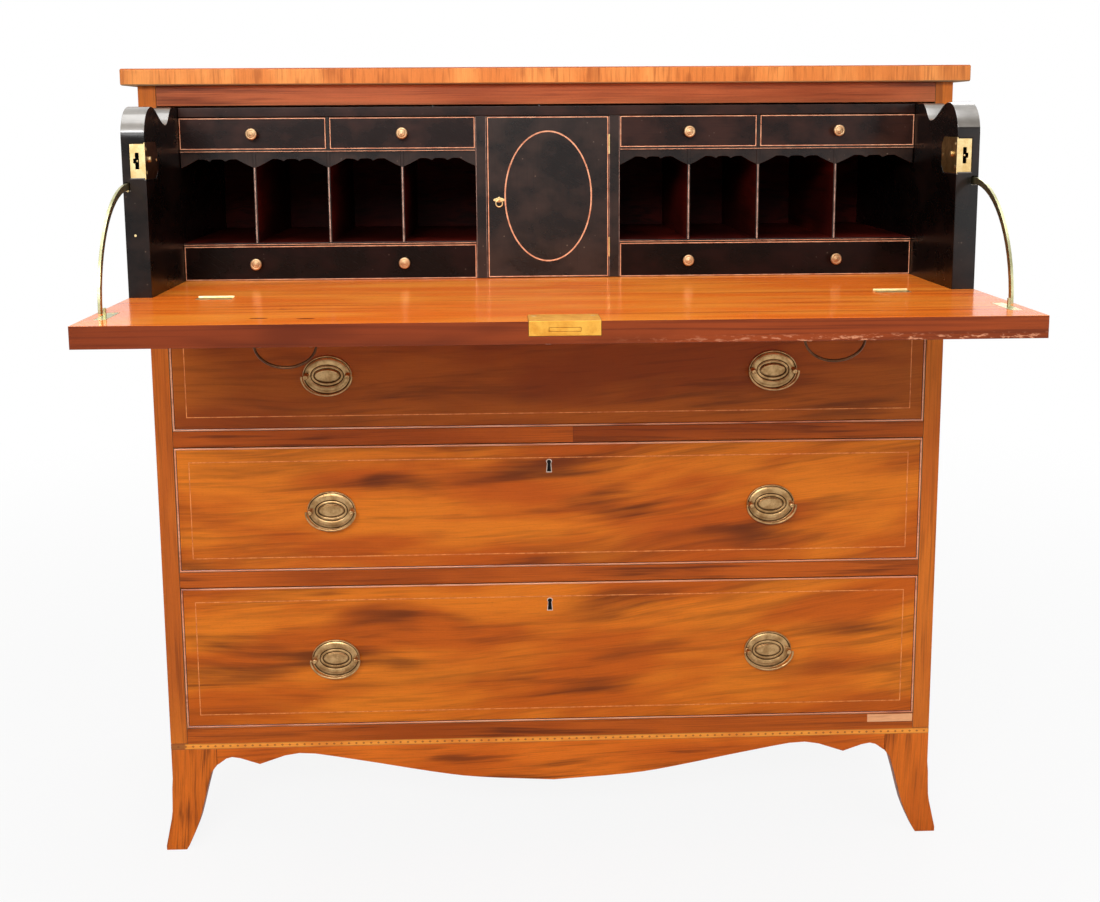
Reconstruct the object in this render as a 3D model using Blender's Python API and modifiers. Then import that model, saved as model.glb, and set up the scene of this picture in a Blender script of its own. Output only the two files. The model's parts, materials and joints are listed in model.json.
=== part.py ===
"""Secretaire cabinet: three long drawers under a deep drawer whose front falls to make a writing surface.

Metres, +Z up. The front faces -Y, and the origin is on the floor under the middle of the whole,
with the secretaire drawer pulled out and its fall let down.
"""

import math

import bmesh
import bpy
from mathutils import Matrix, Vector
from mathutils.geometry import interpolate_bezier

# Gaps and overlaps that all pieces share
fit_gap = 0.0003
overrun = 0.004
lap = 0.0008
weld = 0.00001
cap_tolerance_degrees = 0.01
sharp_degrees = 40

# Carcase
carcase_width = 1.0988
carcase_depth = 0.515
side_thickness = 0.0238
back_thickness = 0.010
top_thickness = 0.022
top_side_overhang = 0.0187
top_front_overhang = 0.0154
top_arris = 0.0015
rail_depth = 0.070
dust_board_thickness = 0.008

# Heights of the front, from the floor up
plinth_height = 0.1485
band_height = 0.0085
bottom_rail_height = 0.023
drawer_openings = (0.160, 0.1805, 0.2095)
rail_height = 0.0225
secretaire_opening = 0.2625
top_rail_height = 0.027

# Plinth: feet, apron and side skirts
foot_width = 0.0645
foot_thickness = 0.020
foot_splay = 0.0105
foot_level_shares = (
    (1.0, 1.0, 0.0),
    (0.83, 1.0, 0.0),
    (0.762, 0.878, 0.0),
    (0.70, 0.835, 0.0),
    (0.60, 0.77, 0.10),
    (0.48, 0.70, 0.14),
    (0.37, 0.635, 0.19),
    (0.29, 0.585, 0.33),
    (0.222, 0.53, 0.52),
    (0.13, 0.44, 0.76),
    (0.044, 0.347, 1.0),
    (0.0, 0.285, 0.99),
)
apron_thickness = 0.018
apron_drop = 0.0592
apron_sweep_shares = (
    (0.0, 1.0),
    (0.22, 0.887),
    (0.359, 0.725),
    (0.597, 0.351),
    (0.757, 0.164),
    (0.874, 0.426),
)
apron_end_shares = ((0.874, 0.426), (0.955, 0.228), (1.0, 0.426))
skirt_drop = 0.0252
skirt_end_run = 0.036
skirt_end_shares = ((0.0, 1.0), (0.45, 0.62), (1.0, 0.5))

# Long drawers
drawer_side_play = 0.0006
drawer_top_play = 0.0012
drawer_front_thickness = 0.020
drawer_depth = 0.460
drawer_wall = 0.010
drawer_bottom = 0.006
drawer_side_drop = 0.006
bead_width = 0.003
bead_rise = 0.00175

# Keyholes
keyhole_x = -0.004
keyhole_radius = 0.0031
keyhole_slot = 0.0042
keyhole_foot = 0.0060
keyhole_length = 0.0139
keyhole_depth = 0.008
keyhole_below_top = 0.0273

# Pulls with their swinging bails
pull_inset = 0.215
pull_below_middle = 0.003
pull_width = 0.068
pull_height = 0.056
pull_base = 0.0012
pull_relief = 0.0018
pull_profile_shares = (
    (0.0, 0.95),
    (0.46, 0.85),
    (0.52, 0.25),
    (0.59, 0.75),
    (0.66, 0.25),
    (0.85, 0.30),
    (0.91, 1.0),
    (1.0, 0.0),
)
pull_sides = 22
post_x = 0.0286
post_radius = 0.0026
post_head_radius = 0.0038
post_head_height = 0.0066
post_sides = 10
pivot_stand = 0.0105
pin_radius = 0.0011
pin_hole_radius = 0.0015
bail_half_width = 0.0345
bail_drop = 0.026
bail_radius = 0.0015
bail_middle_share = 1.2
bail_steps = 12
pin_inner_reach = 0.0052

# Secretaire drawer
slide_out = 0.180
secretaire_depth = 0.470
secretaire_side = 0.0285
secretaire_side_height = 0.2322
secretaire_back_thickness = 0.012
writing_board_thickness = 0.0275
side_round = 0.0385
side_valley_depth = 0.0225
side_valley_at = 0.107
side_valley_end = 0.142

# Fall
fall_thickness = 0.025
fall_top_play = 0.0016
hinge_gap = 0.0004
lip_thickness = 0.0125
lip_play = 0.001
fall_pull_reach = 0.160
hinge_leaf_inset = 0.0786
hinge_leaf_width = 0.0432
hinge_leaf_reach = 0.0235
hinge_leaf_thickness = 0.0018
hinge_barrel_radius = 0.0018
hinge_sides = 12

# Lock of the fall
lock_width = 0.078
lock_reach = 0.051
lock_edge_height = 0.0163
lock_plate_thickness = 0.002
lock_case_width = 0.058
lock_case_reach = 0.040
lock_bolt_width = 0.034
lock_bolt_thickness = 0.004
lock_bolt_length = 0.022
lock_bolt_below = 0.0095
lock_bolt_throw = 0.008
keeper_play = 0.001

# Quadrant stays, and the plates and catches that they work with
stay_radius = 0.136
stay_width = 0.008
stay_thickness = 0.003
stay_inset = 0.0055
stay_start_degrees = 85
stay_end_degrees = 180
stay_slot_play = 0.001
stay_slot_side_play = 0.0015
stay_slot_spare_degrees = 2
stay_tenon = 0.008
fall_plate_inset = 0.0189
fall_plate_width = 0.0134
fall_plate_near = 0.129
fall_plate_far = 0.188
fall_plate_thickness = 0.002
lug_inset = 0.0185
lug_width = 0.003
lug_near = 0.162
lug_thickness = 0.003
lug_height = 0.010
catch_reach = 0.1667
catch_plate_thickness = 0.0015
catch_front_width = 0.0185
catch_front_height = 0.0411
catch_side_length = 0.058
catch_side_height = 0.0445
catch_corner = 0.009
catch_slot_width = 0.0044
catch_slot_height = 0.020
catch_notch_reach = 0.0031
catch_notch_height = 0.006
pocket_width = 0.0155
pocket_height = 0.023
pocket_depth = 0.024
button_back = 0.0175
button_rise = 0.0015
button_radius = 0.0035
button_play = 0.0003
button_proud = 0.0024
button_length = 0.0084
button_sides = 14

# Inside of the secretaire drawer
interior_setback = 0.174
long_small_opening = 0.0476
shelf_thickness = 0.0035
pigeonhole_height = 0.1215
top_small_opening = 0.0432
cupboard_middle = -0.0033
cupboard_width = 0.166
pilaster_width = 0.0145
divider_thickness = 0.004
left_divider_shares = (0.25, 0.5, 0.75)
right_divider_shares = (0.234, 0.469, 0.733)
valance_drop = 0.0204
valance_thickness = 0.003
valance_setback = 0.001
valance_flank_shares = ((0.0, 1.0), (0.11, 0.76), (0.235, 0.436))
valance_lobe_shares = ((0.235, 0.436), (0.33, 0.455), (0.395, 0.588))
valance_middle_shares = ((0.395, 0.588), (0.43, 0.46), (0.5, 0.436))

# Small drawers and their knobs
small_play = 0.0004
small_top_play = 0.0008
small_back_space = 0.034
small_front = 0.010
small_wall = 0.005
small_bottom = 0.004
knob_radius = 0.00775
knob_reach = 0.015
knob_below_middle = 0.0005
knob_profile_shares = (
    (0.0, 1.0),
    (0.60, 0.97),
    (1.0, 0.72),
    (0.84, 0.55),
    (0.38, 0.44),
    (0.38, 0.20),
    (0.56, 0.0),
)
knob_sides = 12

# Cupboard door
door_play = 0.0005
door_thickness = 0.014
door_pull_x = -0.0697
door_pull_height = 0.1065
door_pull_wing_width = 0.016
door_pull_wing_height = 0.009
door_pull_plate_thickness = 0.0015
door_ear_width = 0.003
door_ear_height = 0.0048
door_ear_reach = 0.0052
door_ring_radius = 0.0045
door_ring_wire = 0.0009
door_ring_hole = 0.0016
door_ring_stand = 0.0036
door_ring_points = 16

# Steps along curves
curve_steps = 3
round_steps = 8
cove_steps = 10

# Levels and faces that follow from the sizes above
half_width = carcase_width / 2
opening_half = half_width - side_thickness
drawer_half = opening_half - drawer_side_play
inside_depth = carcase_depth - back_thickness - fit_gap
fall_length = secretaire_opening - fit_gap - writing_board_thickness - fall_top_play
fall_reach = slide_out + hinge_gap + fall_length
front_y = (fall_reach - carcase_depth) / 2
back_y = front_y + carcase_depth
bottom_z = plinth_height + band_height
drawer_3_z = bottom_z + bottom_rail_height
drawer_2_z = drawer_3_z + drawer_openings[2] + rail_height
drawer_1_z = drawer_2_z + drawer_openings[1] + rail_height
secretaire_z = drawer_1_z + drawer_openings[0] + rail_height
drawer_floors = (drawer_1_z, drawer_2_z, drawer_3_z)
top_rail_z = secretaire_z + secretaire_opening
top_z = top_rail_z + top_rail_height
side_front_y = front_y - slide_out
hinge_y = side_front_y - hinge_gap
hinge_z = secretaire_z + fit_gap + writing_board_thickness
inner_half = drawer_half - secretaire_side
pull_x = drawer_half - pull_inset
stay_x = drawer_half - stay_inset
fall_plate_x = drawer_half - fall_plate_inset
lug_x = drawer_half - lug_inset
hinge_leaf_middle = inner_half - hinge_leaf_inset
board_nose = fall_thickness - lip_thickness - fit_gap
lip_length = writing_board_thickness + fit_gap - lip_play
rebate_depth = lip_length + lip_play
inner_back_y = side_front_y + secretaire_depth - secretaire_back_thickness
interior_y = side_front_y + interior_setback
small_depth = inner_back_y - interior_y - small_back_space
catch_z = hinge_z + catch_reach
shelf_1_z = hinge_z + long_small_opening
hole_floor_z = shelf_1_z + shelf_thickness
shelf_2_z = hole_floor_z + pigeonhole_height
top_small_z = shelf_2_z + shelf_thickness
interior_top_z = top_small_z + top_small_opening
cupboard_left = cupboard_middle - cupboard_width / 2
cupboard_right = cupboard_middle + cupboard_width / 2

# How a flat outline is turned, by where it is seen from
seen_from_front = (math.pi / 2, 0, 0)
seen_from_side = (math.pi / 2, 0, math.pi / 2)
seen_from_below = (math.pi, 0, 0)
along_x = (0, math.pi / 2, 0)
towards_front = (math.pi / 2, 0, 0)
sides = (("left", -1), ("right", 1))


# Scene

for old in list(bpy.data.objects):
    bpy.data.objects.remove(old)


def new_collection(name):
    collection = bpy.data.collections.new(name)
    bpy.context.scene.collection.children.link(collection)
    return collection


parts = new_collection("secretaire_cabinet")
cutters = new_collection("cutters")


# Finishes

def finish(name, colour, roughness, metallic=0.0):
    made = bpy.data.materials.new(name)
    made.use_nodes = True
    shader = made.node_tree.nodes["Principled BSDF"]
    shader.inputs["Base Color"].default_value = (*colour, 1.0)
    shader.inputs["Roughness"].default_value = roughness
    shader.inputs["Metallic"].default_value = metallic
    made.diffuse_color = (*colour, 1.0)
    return made


flame_veneer = finish("flame_veneer", (0.40, 0.13, 0.03), 0.25)
rail_veneer = finish("rail_veneer", (0.36, 0.12, 0.03), 0.28)
side_wood = finish("side_wood", (0.26, 0.07, 0.02), 0.30)
drawer_wood = finish("drawer_wood", (0.42, 0.25, 0.11), 0.60)
back_wood = finish("back_wood", (0.30, 0.18, 0.09), 0.75)
writing_veneer = finish("writing_veneer", (0.45, 0.17, 0.06), 0.18)
black_polish = finish("black_polish", (0.02, 0.015, 0.012), 0.20)
aged_brass = finish("aged_brass", (0.62, 0.50, 0.24), 0.32, 1.0)
bright_brass = finish("bright_brass", (0.80, 0.62, 0.22), 0.22, 1.0)
dark_bronze = finish("dark_bronze", (0.14, 0.10, 0.06), 0.40, 1.0)
steel = finish("steel", (0.45, 0.44, 0.42), 0.35, 1.0)


# Meshes

def finished_mesh(made, whole_caps=False):
    """The evaluated mesh of an object, which is then removed. Whole caps are single flat faces."""
    bpy.context.view_layer.update()
    graph = bpy.context.evaluated_depsgraph_get()
    mesh = bpy.data.meshes.new_from_object(made.evaluated_get(graph))
    bpy.data.objects.remove(made)
    shape = bmesh.new()
    shape.from_mesh(mesh)
    bmesh.ops.remove_doubles(shape, verts=shape.verts, dist=weld)
    if whole_caps:
        flat = math.radians(cap_tolerance_degrees)
        bmesh.ops.dissolve_limit(shape, angle_limit=flat, verts=shape.verts, edges=shape.edges)
    shape.to_mesh(mesh)
    shape.free()
    return mesh


def block_mesh(size):
    mesh = bpy.data.meshes.new("block")
    shape = bmesh.new()
    bmesh.ops.create_cube(shape, size=1.0)
    bmesh.ops.scale(shape, vec=size, verts=shape.verts)
    shape.to_mesh(mesh)
    shape.free()
    return mesh


def rod_mesh(radius, length, steps):
    """A cylinder along Z, centred on its origin."""
    mesh = bpy.data.meshes.new("rod")
    shape = bmesh.new()
    bmesh.ops.create_cone(
        shape, cap_ends=True, segments=steps, radius1=radius, radius2=radius, depth=length
    )
    shape.to_mesh(mesh)
    shape.free()
    smooth_round(mesh)
    return mesh


def smooth_round(mesh):
    mesh.shade_smooth()
    mesh.set_sharp_from_angle(angle=math.radians(sharp_degrees))


def outline_mesh(points, thickness):
    """A flat outline made solid about its plane."""
    curve = bpy.data.curves.new("outline", "CURVE")
    curve.dimensions = "2D"
    curve.fill_mode = "BOTH"
    curve.extrude = thickness / 2
    spline = curve.splines.new("POLY")
    spline.points.add(len(points) - 1)
    for point, (across, up) in zip(spline.points, points):
        point.co = (across, up, 0, 1)
    spline.use_cyclic_u = True
    made = bpy.data.objects.new("outline", curve)
    cutters.objects.link(made)
    return finished_mesh(made, whole_caps=True)


def tube_mesh(points, radius, shares, closed=False):
    """A wire along points, with its radius times a share at each."""
    curve = bpy.data.curves.new("tube", "CURVE")
    curve.dimensions = "3D"
    curve.bevel_depth = radius
    curve.bevel_resolution = 2
    curve.use_fill_caps = True
    spline = curve.splines.new("POLY")
    spline.points.add(len(points) - 1)
    for point, place, share in zip(spline.points, points, shares):
        point.co = (*place, 1)
        point.radius = share
    spline.use_cyclic_u = closed
    made = bpy.data.objects.new("tube", curve)
    cutters.objects.link(made)
    mesh = finished_mesh(made)
    smooth_round(mesh)
    return mesh


def turned_mesh(profile, steps):
    """A shape turned about Z from (radius, height) points that run down its outer side."""
    mesh = bpy.data.meshes.new("turned")
    shape = bmesh.new()
    rims = [shape.verts.new((radius, 0, height)) for radius, height in profile]
    for upper, lower in zip(rims, rims[1:]):
        shape.edges.new((upper, lower))
    shape.to_mesh(mesh)
    shape.free()
    made = bpy.data.objects.new("turned", mesh)
    cutters.objects.link(made)
    screw = made.modifiers.new("turn", "SCREW")
    screw.steps = steps
    screw.render_steps = steps
    screw.use_merge_vertices = True
    screw.merge_threshold = weld
    turned = finished_mesh(made)
    smooth_round(turned)
    return turned


# Lines

def through(corners):
    """A smooth line through chosen points."""
    known = [Vector(corner) for corner in corners]
    known = [2 * known[0] - known[1], *known, 2 * known[-1] - known[-2]]
    line = []
    for before, start, end, after in zip(known, known[1:], known[2:], known[3:]):
        lead = start + (end - before) / 6
        trail = end - (after - start) / 6
        line += interpolate_bezier(start, lead, trail, end, curve_steps + 1)[:-1]
    return [*line, known[-2]]


def arc(across, up, radius, start_degrees, end_degrees, steps):
    line = []
    for step in range(steps + 1):
        turn = math.radians(start_degrees + (end_degrees - start_degrees) * step / steps)
        line.append((across + radius * math.cos(turn), up + radius * math.sin(turn)))
    return line


def ease(start, end, steps):
    """A half wave from one point to another, level at both ends."""
    line = []
    for step in range(steps + 1):
        share = step / steps
        fall = (1 - math.cos(math.pi * share)) / 2
        line.append((start[0] + (end[0] - start[0]) * share, start[1] + (end[1] - start[1]) * fall))
    return line


def scaled(shares, across, up):
    return [(across * x_share, up * y_share) for x_share, y_share in shares]


# Objects

def body(name, place, parent=None):
    """An empty on a joint's axis, which carries the pieces that move with it."""
    made = bpy.data.objects.new(name, None)
    parts.objects.link(made)
    set_place(made, place, parent)
    return made


def set_place(made, place, parent):
    made["place"] = place
    made.parent = parent
    made.location = Vector(place) - Vector(parent["place"]) if parent else place


def piece(name, mesh, place, material, turn=(0, 0, 0), parent=None):
    if not mesh.materials:
        mesh.materials.append(material)
    made = bpy.data.objects.new(name, mesh)
    parts.objects.link(made)
    made.rotation_euler = turn
    set_place(made, place, parent)
    return made


def block(name, low, high, material, parent=None):
    middle = (Vector(low) + Vector(high)) / 2
    return piece(name, block_mesh(Vector(high) - Vector(low)), middle, material, parent=parent)


def helper(mesh, place, turn=(0, 0, 0)):
    """A hidden shape that cuts or joins."""
    made = bpy.data.objects.new("helper", mesh)
    cutters.objects.link(made)
    made.rotation_euler = turn
    made.location = place
    made.hide_render = True
    made.display_type = "WIRE"
    return made


def block_helper(low, high):
    middle = (Vector(low) + Vector(high)) / 2
    return helper(block_mesh(Vector(high) - Vector(low)), middle)


def combine(made, other, operation, solver="EXACT"):
    boolean = made.modifiers.new(operation.lower(), "BOOLEAN")
    boolean.operation = operation
    boolean.solver = solver
    boolean.object = other


def cut(made, other):
    combine(made, other, "DIFFERENCE")


def join(made, other):
    combine(made, other, "UNION")


def ordered(first, second):
    return min(first, second), max(first, second)


# Carcase

def carcase_top():
    made = block(
        "carcase_top",
        (-half_width - top_side_overhang, front_y - top_front_overhang, top_z),
        (half_width + top_side_overhang, back_y, top_z + top_thickness),
        flame_veneer,
    )
    arris = made.modifiers.new("arris", "BEVEL")
    arris.width = top_arris
    arris.segments = 1


def carcase_sides():
    for side, way in sides:
        low_x, high_x = ordered(way * opening_half, way * half_width)
        block(
            f"carcase_side_{side}",
            (low_x, front_y, bottom_z + fit_gap),
            (high_x, front_y + inside_depth, top_z - fit_gap),
            side_wood,
        )


def carcase_back():
    block(
        "carcase_back",
        (-half_width, back_y - back_thickness, plinth_height),
        (half_width, back_y, top_z - fit_gap),
        back_wood,
    )


def top_rail():
    rail_half = opening_half - fit_gap
    made = block(
        "top_rail",
        (-rail_half, front_y, top_rail_z),
        (rail_half, front_y + rail_depth, top_z - fit_gap),
        rail_veneer,
    )
    keeper_y = front_y + fall_thickness - lock_bolt_below
    keeper_half = lock_bolt_width / 2 + keeper_play
    keeper_thick = lock_bolt_thickness / 2 + keeper_play
    keeper_top = top_rail_z + lock_bolt_throw + keeper_play
    cut(
        made,
        block_helper(
            (-keeper_half, keeper_y - keeper_thick, top_rail_z - overrun),
            (keeper_half, keeper_y + keeper_thick, keeper_top),
        ),
    )


def drawer_rails():
    """Each rail carries a thin dust board, level with its top."""
    for number, floor_z in enumerate((secretaire_z, drawer_1_z, drawer_2_z), start=1):
        rail_back = front_y + rail_depth
        board_z = floor_z - dust_board_thickness
        section = [
            (front_y, floor_z - rail_height),
            (rail_back, floor_z - rail_height),
            (rail_back, board_z),
            (front_y + inside_depth, board_z),
            (front_y + inside_depth, floor_z),
            (front_y, floor_z),
        ]
        mesh = outline_mesh(section, 2 * (opening_half - fit_gap))
        piece(f"rail_above_drawer_{number}", mesh, (0, 0, 0), rail_veneer, seen_from_side)


def carcase_bottom():
    """The banded slab under the sides, the board between them, and a skirt under each side."""
    board_half = opening_half - fit_gap
    section = [
        (-half_width, plinth_height),
        (half_width, plinth_height),
        (half_width, bottom_z),
        (board_half, bottom_z),
        (board_half, drawer_3_z),
        (-board_half, drawer_3_z),
        (-board_half, bottom_z),
        (-half_width, bottom_z),
    ]
    mesh = outline_mesh(section, inside_depth)
    middle = (0, front_y + inside_depth / 2, 0)
    made = piece("carcase_bottom", mesh, middle, rail_veneer, seen_from_front)
    skirt_front = front_y + foot_width + fit_gap
    skirt_back = back_y - foot_width - fit_gap
    end = through(scaled(skirt_end_shares, skirt_end_run, skirt_drop))
    lower_edge = [(skirt_front + along, plinth_height - drop) for along, drop in end]
    lower_edge += [(skirt_back - along, plinth_height - drop) for along, drop in reversed(end)]
    skirt_top = plinth_height + lap
    outline = [(skirt_front, skirt_top), *lower_edge, (skirt_back, skirt_top)]
    for _, way in sides:
        skirt = outline_mesh(outline, apron_thickness)
        skirt_x = way * (half_width - apron_thickness / 2)
        join(made, helper(skirt, (skirt_x, 0, 0), seen_from_side))


def apron():
    half_span = half_width - foot_width - fit_gap
    half_edge = through(scaled(apron_sweep_shares, half_span, apron_drop))[:-1]
    half_edge += through(scaled(apron_end_shares, half_span, apron_drop))
    upper_z = plinth_height - fit_gap
    right = [(across, plinth_height - drop) for across, drop in half_edge]
    left = [(-across, up) for across, up in reversed(right[1:])]
    outline = [(-half_span, upper_z), *left, *right, (half_span, upper_z)]
    mesh = outline_mesh(outline, apron_thickness)
    piece("apron", mesh, (0, front_y + apron_thickness / 2, 0), flame_veneer, seen_from_front)


def foot_mesh(front_splay):
    """A corner bracket foot for the left front, its corner at the origin, drawn down level by level."""
    mesh = bpy.data.meshes.new("foot")
    shape = bmesh.new()
    top = None
    for height_share, width_share, splay_share in foot_level_shares:
        level_z = min(plinth_height * height_share, plinth_height - fit_gap)
        width = foot_width * width_share
        outer_x = -foot_splay * splay_share
        outer_y = -front_splay * splay_share
        corners = (
            (outer_x, outer_y),
            (width, outer_y),
            (width, outer_y + foot_thickness),
            (outer_x + foot_thickness, outer_y + foot_thickness),
            (outer_x + foot_thickness, width),
            (outer_x, width),
        )
        if top is None:
            top = shape.faces.new([shape.verts.new((x, y, level_z)) for x, y in corners])
            face = top
            continue
        drawn = bmesh.ops.extrude_face_region(shape, geom=[face])["geom"]
        if face is not top:
            bmesh.ops.delete(shape, geom=[face], context="FACES_ONLY")
        face = next(item for item in drawn if isinstance(item, bmesh.types.BMFace))
        for vert, (x, y) in zip(face.verts, corners):
            vert.co = (x, y, level_z)
    bmesh.ops.recalc_face_normals(shape, faces=shape.faces)
    shape.to_mesh(mesh)
    shape.free()
    return mesh


def feet():
    for end, foot_y, way_y, front_splay in (
        ("front", front_y, 1, foot_splay),
        ("back", back_y, -1, 0),
    ):
        for side, way in sides:
            mesh = foot_mesh(front_splay)
            mesh.transform(Matrix.Diagonal((-way, way_y, 1, 1)))
            if way * way_y > 0:
                mesh.flip_normals()
            piece(f"foot_{end}_{side}", mesh, (way * half_width, foot_y, 0), flame_veneer)


# Pulls

def pull_plate_mesh():
    """An oval plate with its rims and raised oval, and the two drilled posts that hold a bail."""
    half = pull_width / 2
    face = [(half * at, pull_base + pull_relief * rise) for at, rise in pull_profile_shares]
    plate = turned_mesh([*face, (half, 0), (0, 0)], pull_sides)
    plate.transform(Matrix.Diagonal((1, pull_height / pull_width, 1, 1)))
    plate.transform(Matrix.Rotation(math.pi / 2, 4, "X"))
    made = helper(plate, (0, 0, 0))
    head_end = pivot_stand + post_head_height / 2
    for _, way in sides:
        stem = rod_mesh(post_radius, pivot_stand - lap, post_sides)
        join(made, helper(stem, (way * post_x, -(pivot_stand + lap) / 2, 0), towards_front))
        head = rod_mesh(post_head_radius, post_head_height, post_sides)
        head_y = post_head_height / 2 - head_end
        join(made, helper(head, (way * post_x, head_y, 0), towards_front))
        hole = rod_mesh(pin_hole_radius, 2 * (post_head_radius + overrun), post_sides)
        cut(made, helper(hole, (way * post_x, -pivot_stand, 0), along_x))
    mesh = finished_mesh(made)
    smooth_round(mesh)
    return mesh


def bail_mesh():
    """A bail hanging from its pivot at the origin, with pins that turn inwards into the posts."""
    inner = post_x - pin_inner_reach
    pin_share = pin_radius / bail_radius
    right = [(inner, 0, 0), (post_x, 0, 0), (bail_half_width, 0, 0)]
    shares = [pin_share, pin_share, 1.0]
    for step in range(1, bail_steps):
        turn = math.pi * step / bail_steps
        place = (bail_half_width * math.cos(turn), 0, -bail_drop * math.sin(turn))
        right.append(place)
        shares.append(1.0 + (bail_middle_share - 1.0) * math.sin(turn) ** 2)
    right += [(-bail_half_width, 0, 0), (-post_x, 0, 0), (-inner, 0, 0)]
    shares += [1.0, pin_share, pin_share]
    return tube_mesh(right, bail_radius, shares)


def pull(name, plate, bail, place, turn, pivot, parent):
    piece(f"{name}_plate", plate, place, aged_brass, turn, parent)
    swing = body(f"{name}_bail_pivot", pivot, parent)
    piece(f"{name}_bail", bail, pivot, aged_brass, parent=swing)


# Long drawers

def keyhole(place, turn):
    """A round hole over a slot that widens to its foot, sunk into a front."""
    slot_half = keyhole_slot / 2
    foot_half = keyhole_foot / 2
    start = math.degrees(math.asin(slot_half / keyhole_radius)) - 90
    ring = arc(0, 0, keyhole_radius, start, 180 - start, round_steps)
    outline = [*ring, (-foot_half, -keyhole_length), (foot_half, -keyhole_length)]
    return helper(outline_mesh(outline, 2 * keyhole_depth), place, turn)


def long_drawers(plate, bail):
    for number, (floor_z, opening) in enumerate(zip(drawer_floors, drawer_openings), start=1):
        low_z = floor_z + fit_gap
        high_z = floor_z + opening - drawer_top_play
        middle_z = (low_z + high_z) / 2
        slide = body(f"drawer_{number}_slide", (0, front_y, middle_z))
        made = block(
            f"drawer_{number}",
            (-drawer_half, front_y, low_z),
            (drawer_half, front_y + drawer_depth, high_z),
            flame_veneer,
            slide,
        )
        inside_half = drawer_half - drawer_wall
        inside_front = front_y + drawer_front_thickness
        inside_back = front_y + drawer_depth - drawer_wall
        cut(
            made,
            block_helper(
                (-inside_half, inside_front, low_z + drawer_bottom),
                (inside_half, inside_back, high_z + overrun),
            ),
        )
        cut(
            made,
            block_helper(
                (-drawer_half - overrun, inside_front, high_z - drawer_side_drop),
                (drawer_half + overrun, front_y + drawer_depth + overrun, high_z + overrun),
            ),
        )
        cut(
            made,
            block_helper(
                (bead_width - drawer_half, front_y - overrun, low_z + bead_width),
                (drawer_half - bead_width, front_y + bead_rise, high_z - bead_width),
            ),
        )
        key_z = high_z - keyhole_below_top
        cut(made, keyhole((keyhole_x, front_y, key_z), seen_from_front))
        plate_y = front_y + bead_rise - fit_gap
        pull_z = middle_z - pull_below_middle
        for side, way in sides:
            place = (way * pull_x, plate_y, pull_z)
            pivot = (way * pull_x, plate_y - pivot_stand, pull_z)
            pull(f"drawer_{number}_{side}", plate, bail, place, (0, 0, 0), pivot, slide)


# Secretaire drawer

def writing_board(slide):
    board_back = inner_back_y - fit_gap
    under_z = hinge_z - writing_board_thickness
    section = [
        (side_front_y, hinge_z),
        (side_front_y, hinge_z - board_nose),
        (side_front_y + rebate_depth, hinge_z - board_nose),
        (side_front_y + rebate_depth, under_z),
        (board_back, under_z),
        (board_back, hinge_z),
    ]
    mesh = outline_mesh(section, 2 * (inner_half - fit_gap))
    mesh.transform(Matrix.Translation((-side_front_y, -hinge_z, 0)))
    place = (0, side_front_y, hinge_z)
    made = piece("writing_board", mesh, place, writing_veneer, seen_from_side, slide)
    for _, way in sides:
        cut(made, barrel_groove(way))


def barrel_groove(way):
    length = hinge_leaf_width + 2 * fit_gap
    groove = rod_mesh(hinge_barrel_radius + hinge_gap, length, hinge_sides)
    return helper(groove, (way * hinge_leaf_middle, hinge_y, hinge_z), along_x)


def catch_side_outline(grow):
    """The let-in plate on the inner face of a drawer side, its far corners cut off."""
    half = catch_side_height / 2 + grow
    far = side_front_y + catch_side_length + grow
    near = side_front_y - overrun if grow else side_front_y
    return [
        (near, catch_z - half),
        (far - catch_corner, catch_z - half),
        (far, catch_z - half + catch_corner),
        (far, catch_z + half - catch_corner),
        (far - catch_corner, catch_z + half),
        (near, catch_z + half),
    ]


def catch_plates(way, grow):
    """Side and front plates of a catch, each grown a little where they cut their own beds."""
    inner_x = way * (inner_half - (overrun if grow else 0))
    bed_x = way * (inner_half + catch_plate_thickness + grow)
    low_x, high_x = ordered(inner_x, bed_x)
    side_plate = outline_mesh(catch_side_outline(grow), high_x - low_x)
    front_low, front_high = ordered(inner_x, way * (inner_half + catch_front_width + grow))
    half = catch_front_height / 2 + grow
    near = side_front_y - (overrun if grow else 0)
    low = (front_low, near, catch_z - half)
    high = (front_high, side_front_y + catch_plate_thickness + grow, catch_z + half)
    return side_plate, ((low_x + high_x) / 2, 0, 0), low, high


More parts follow.
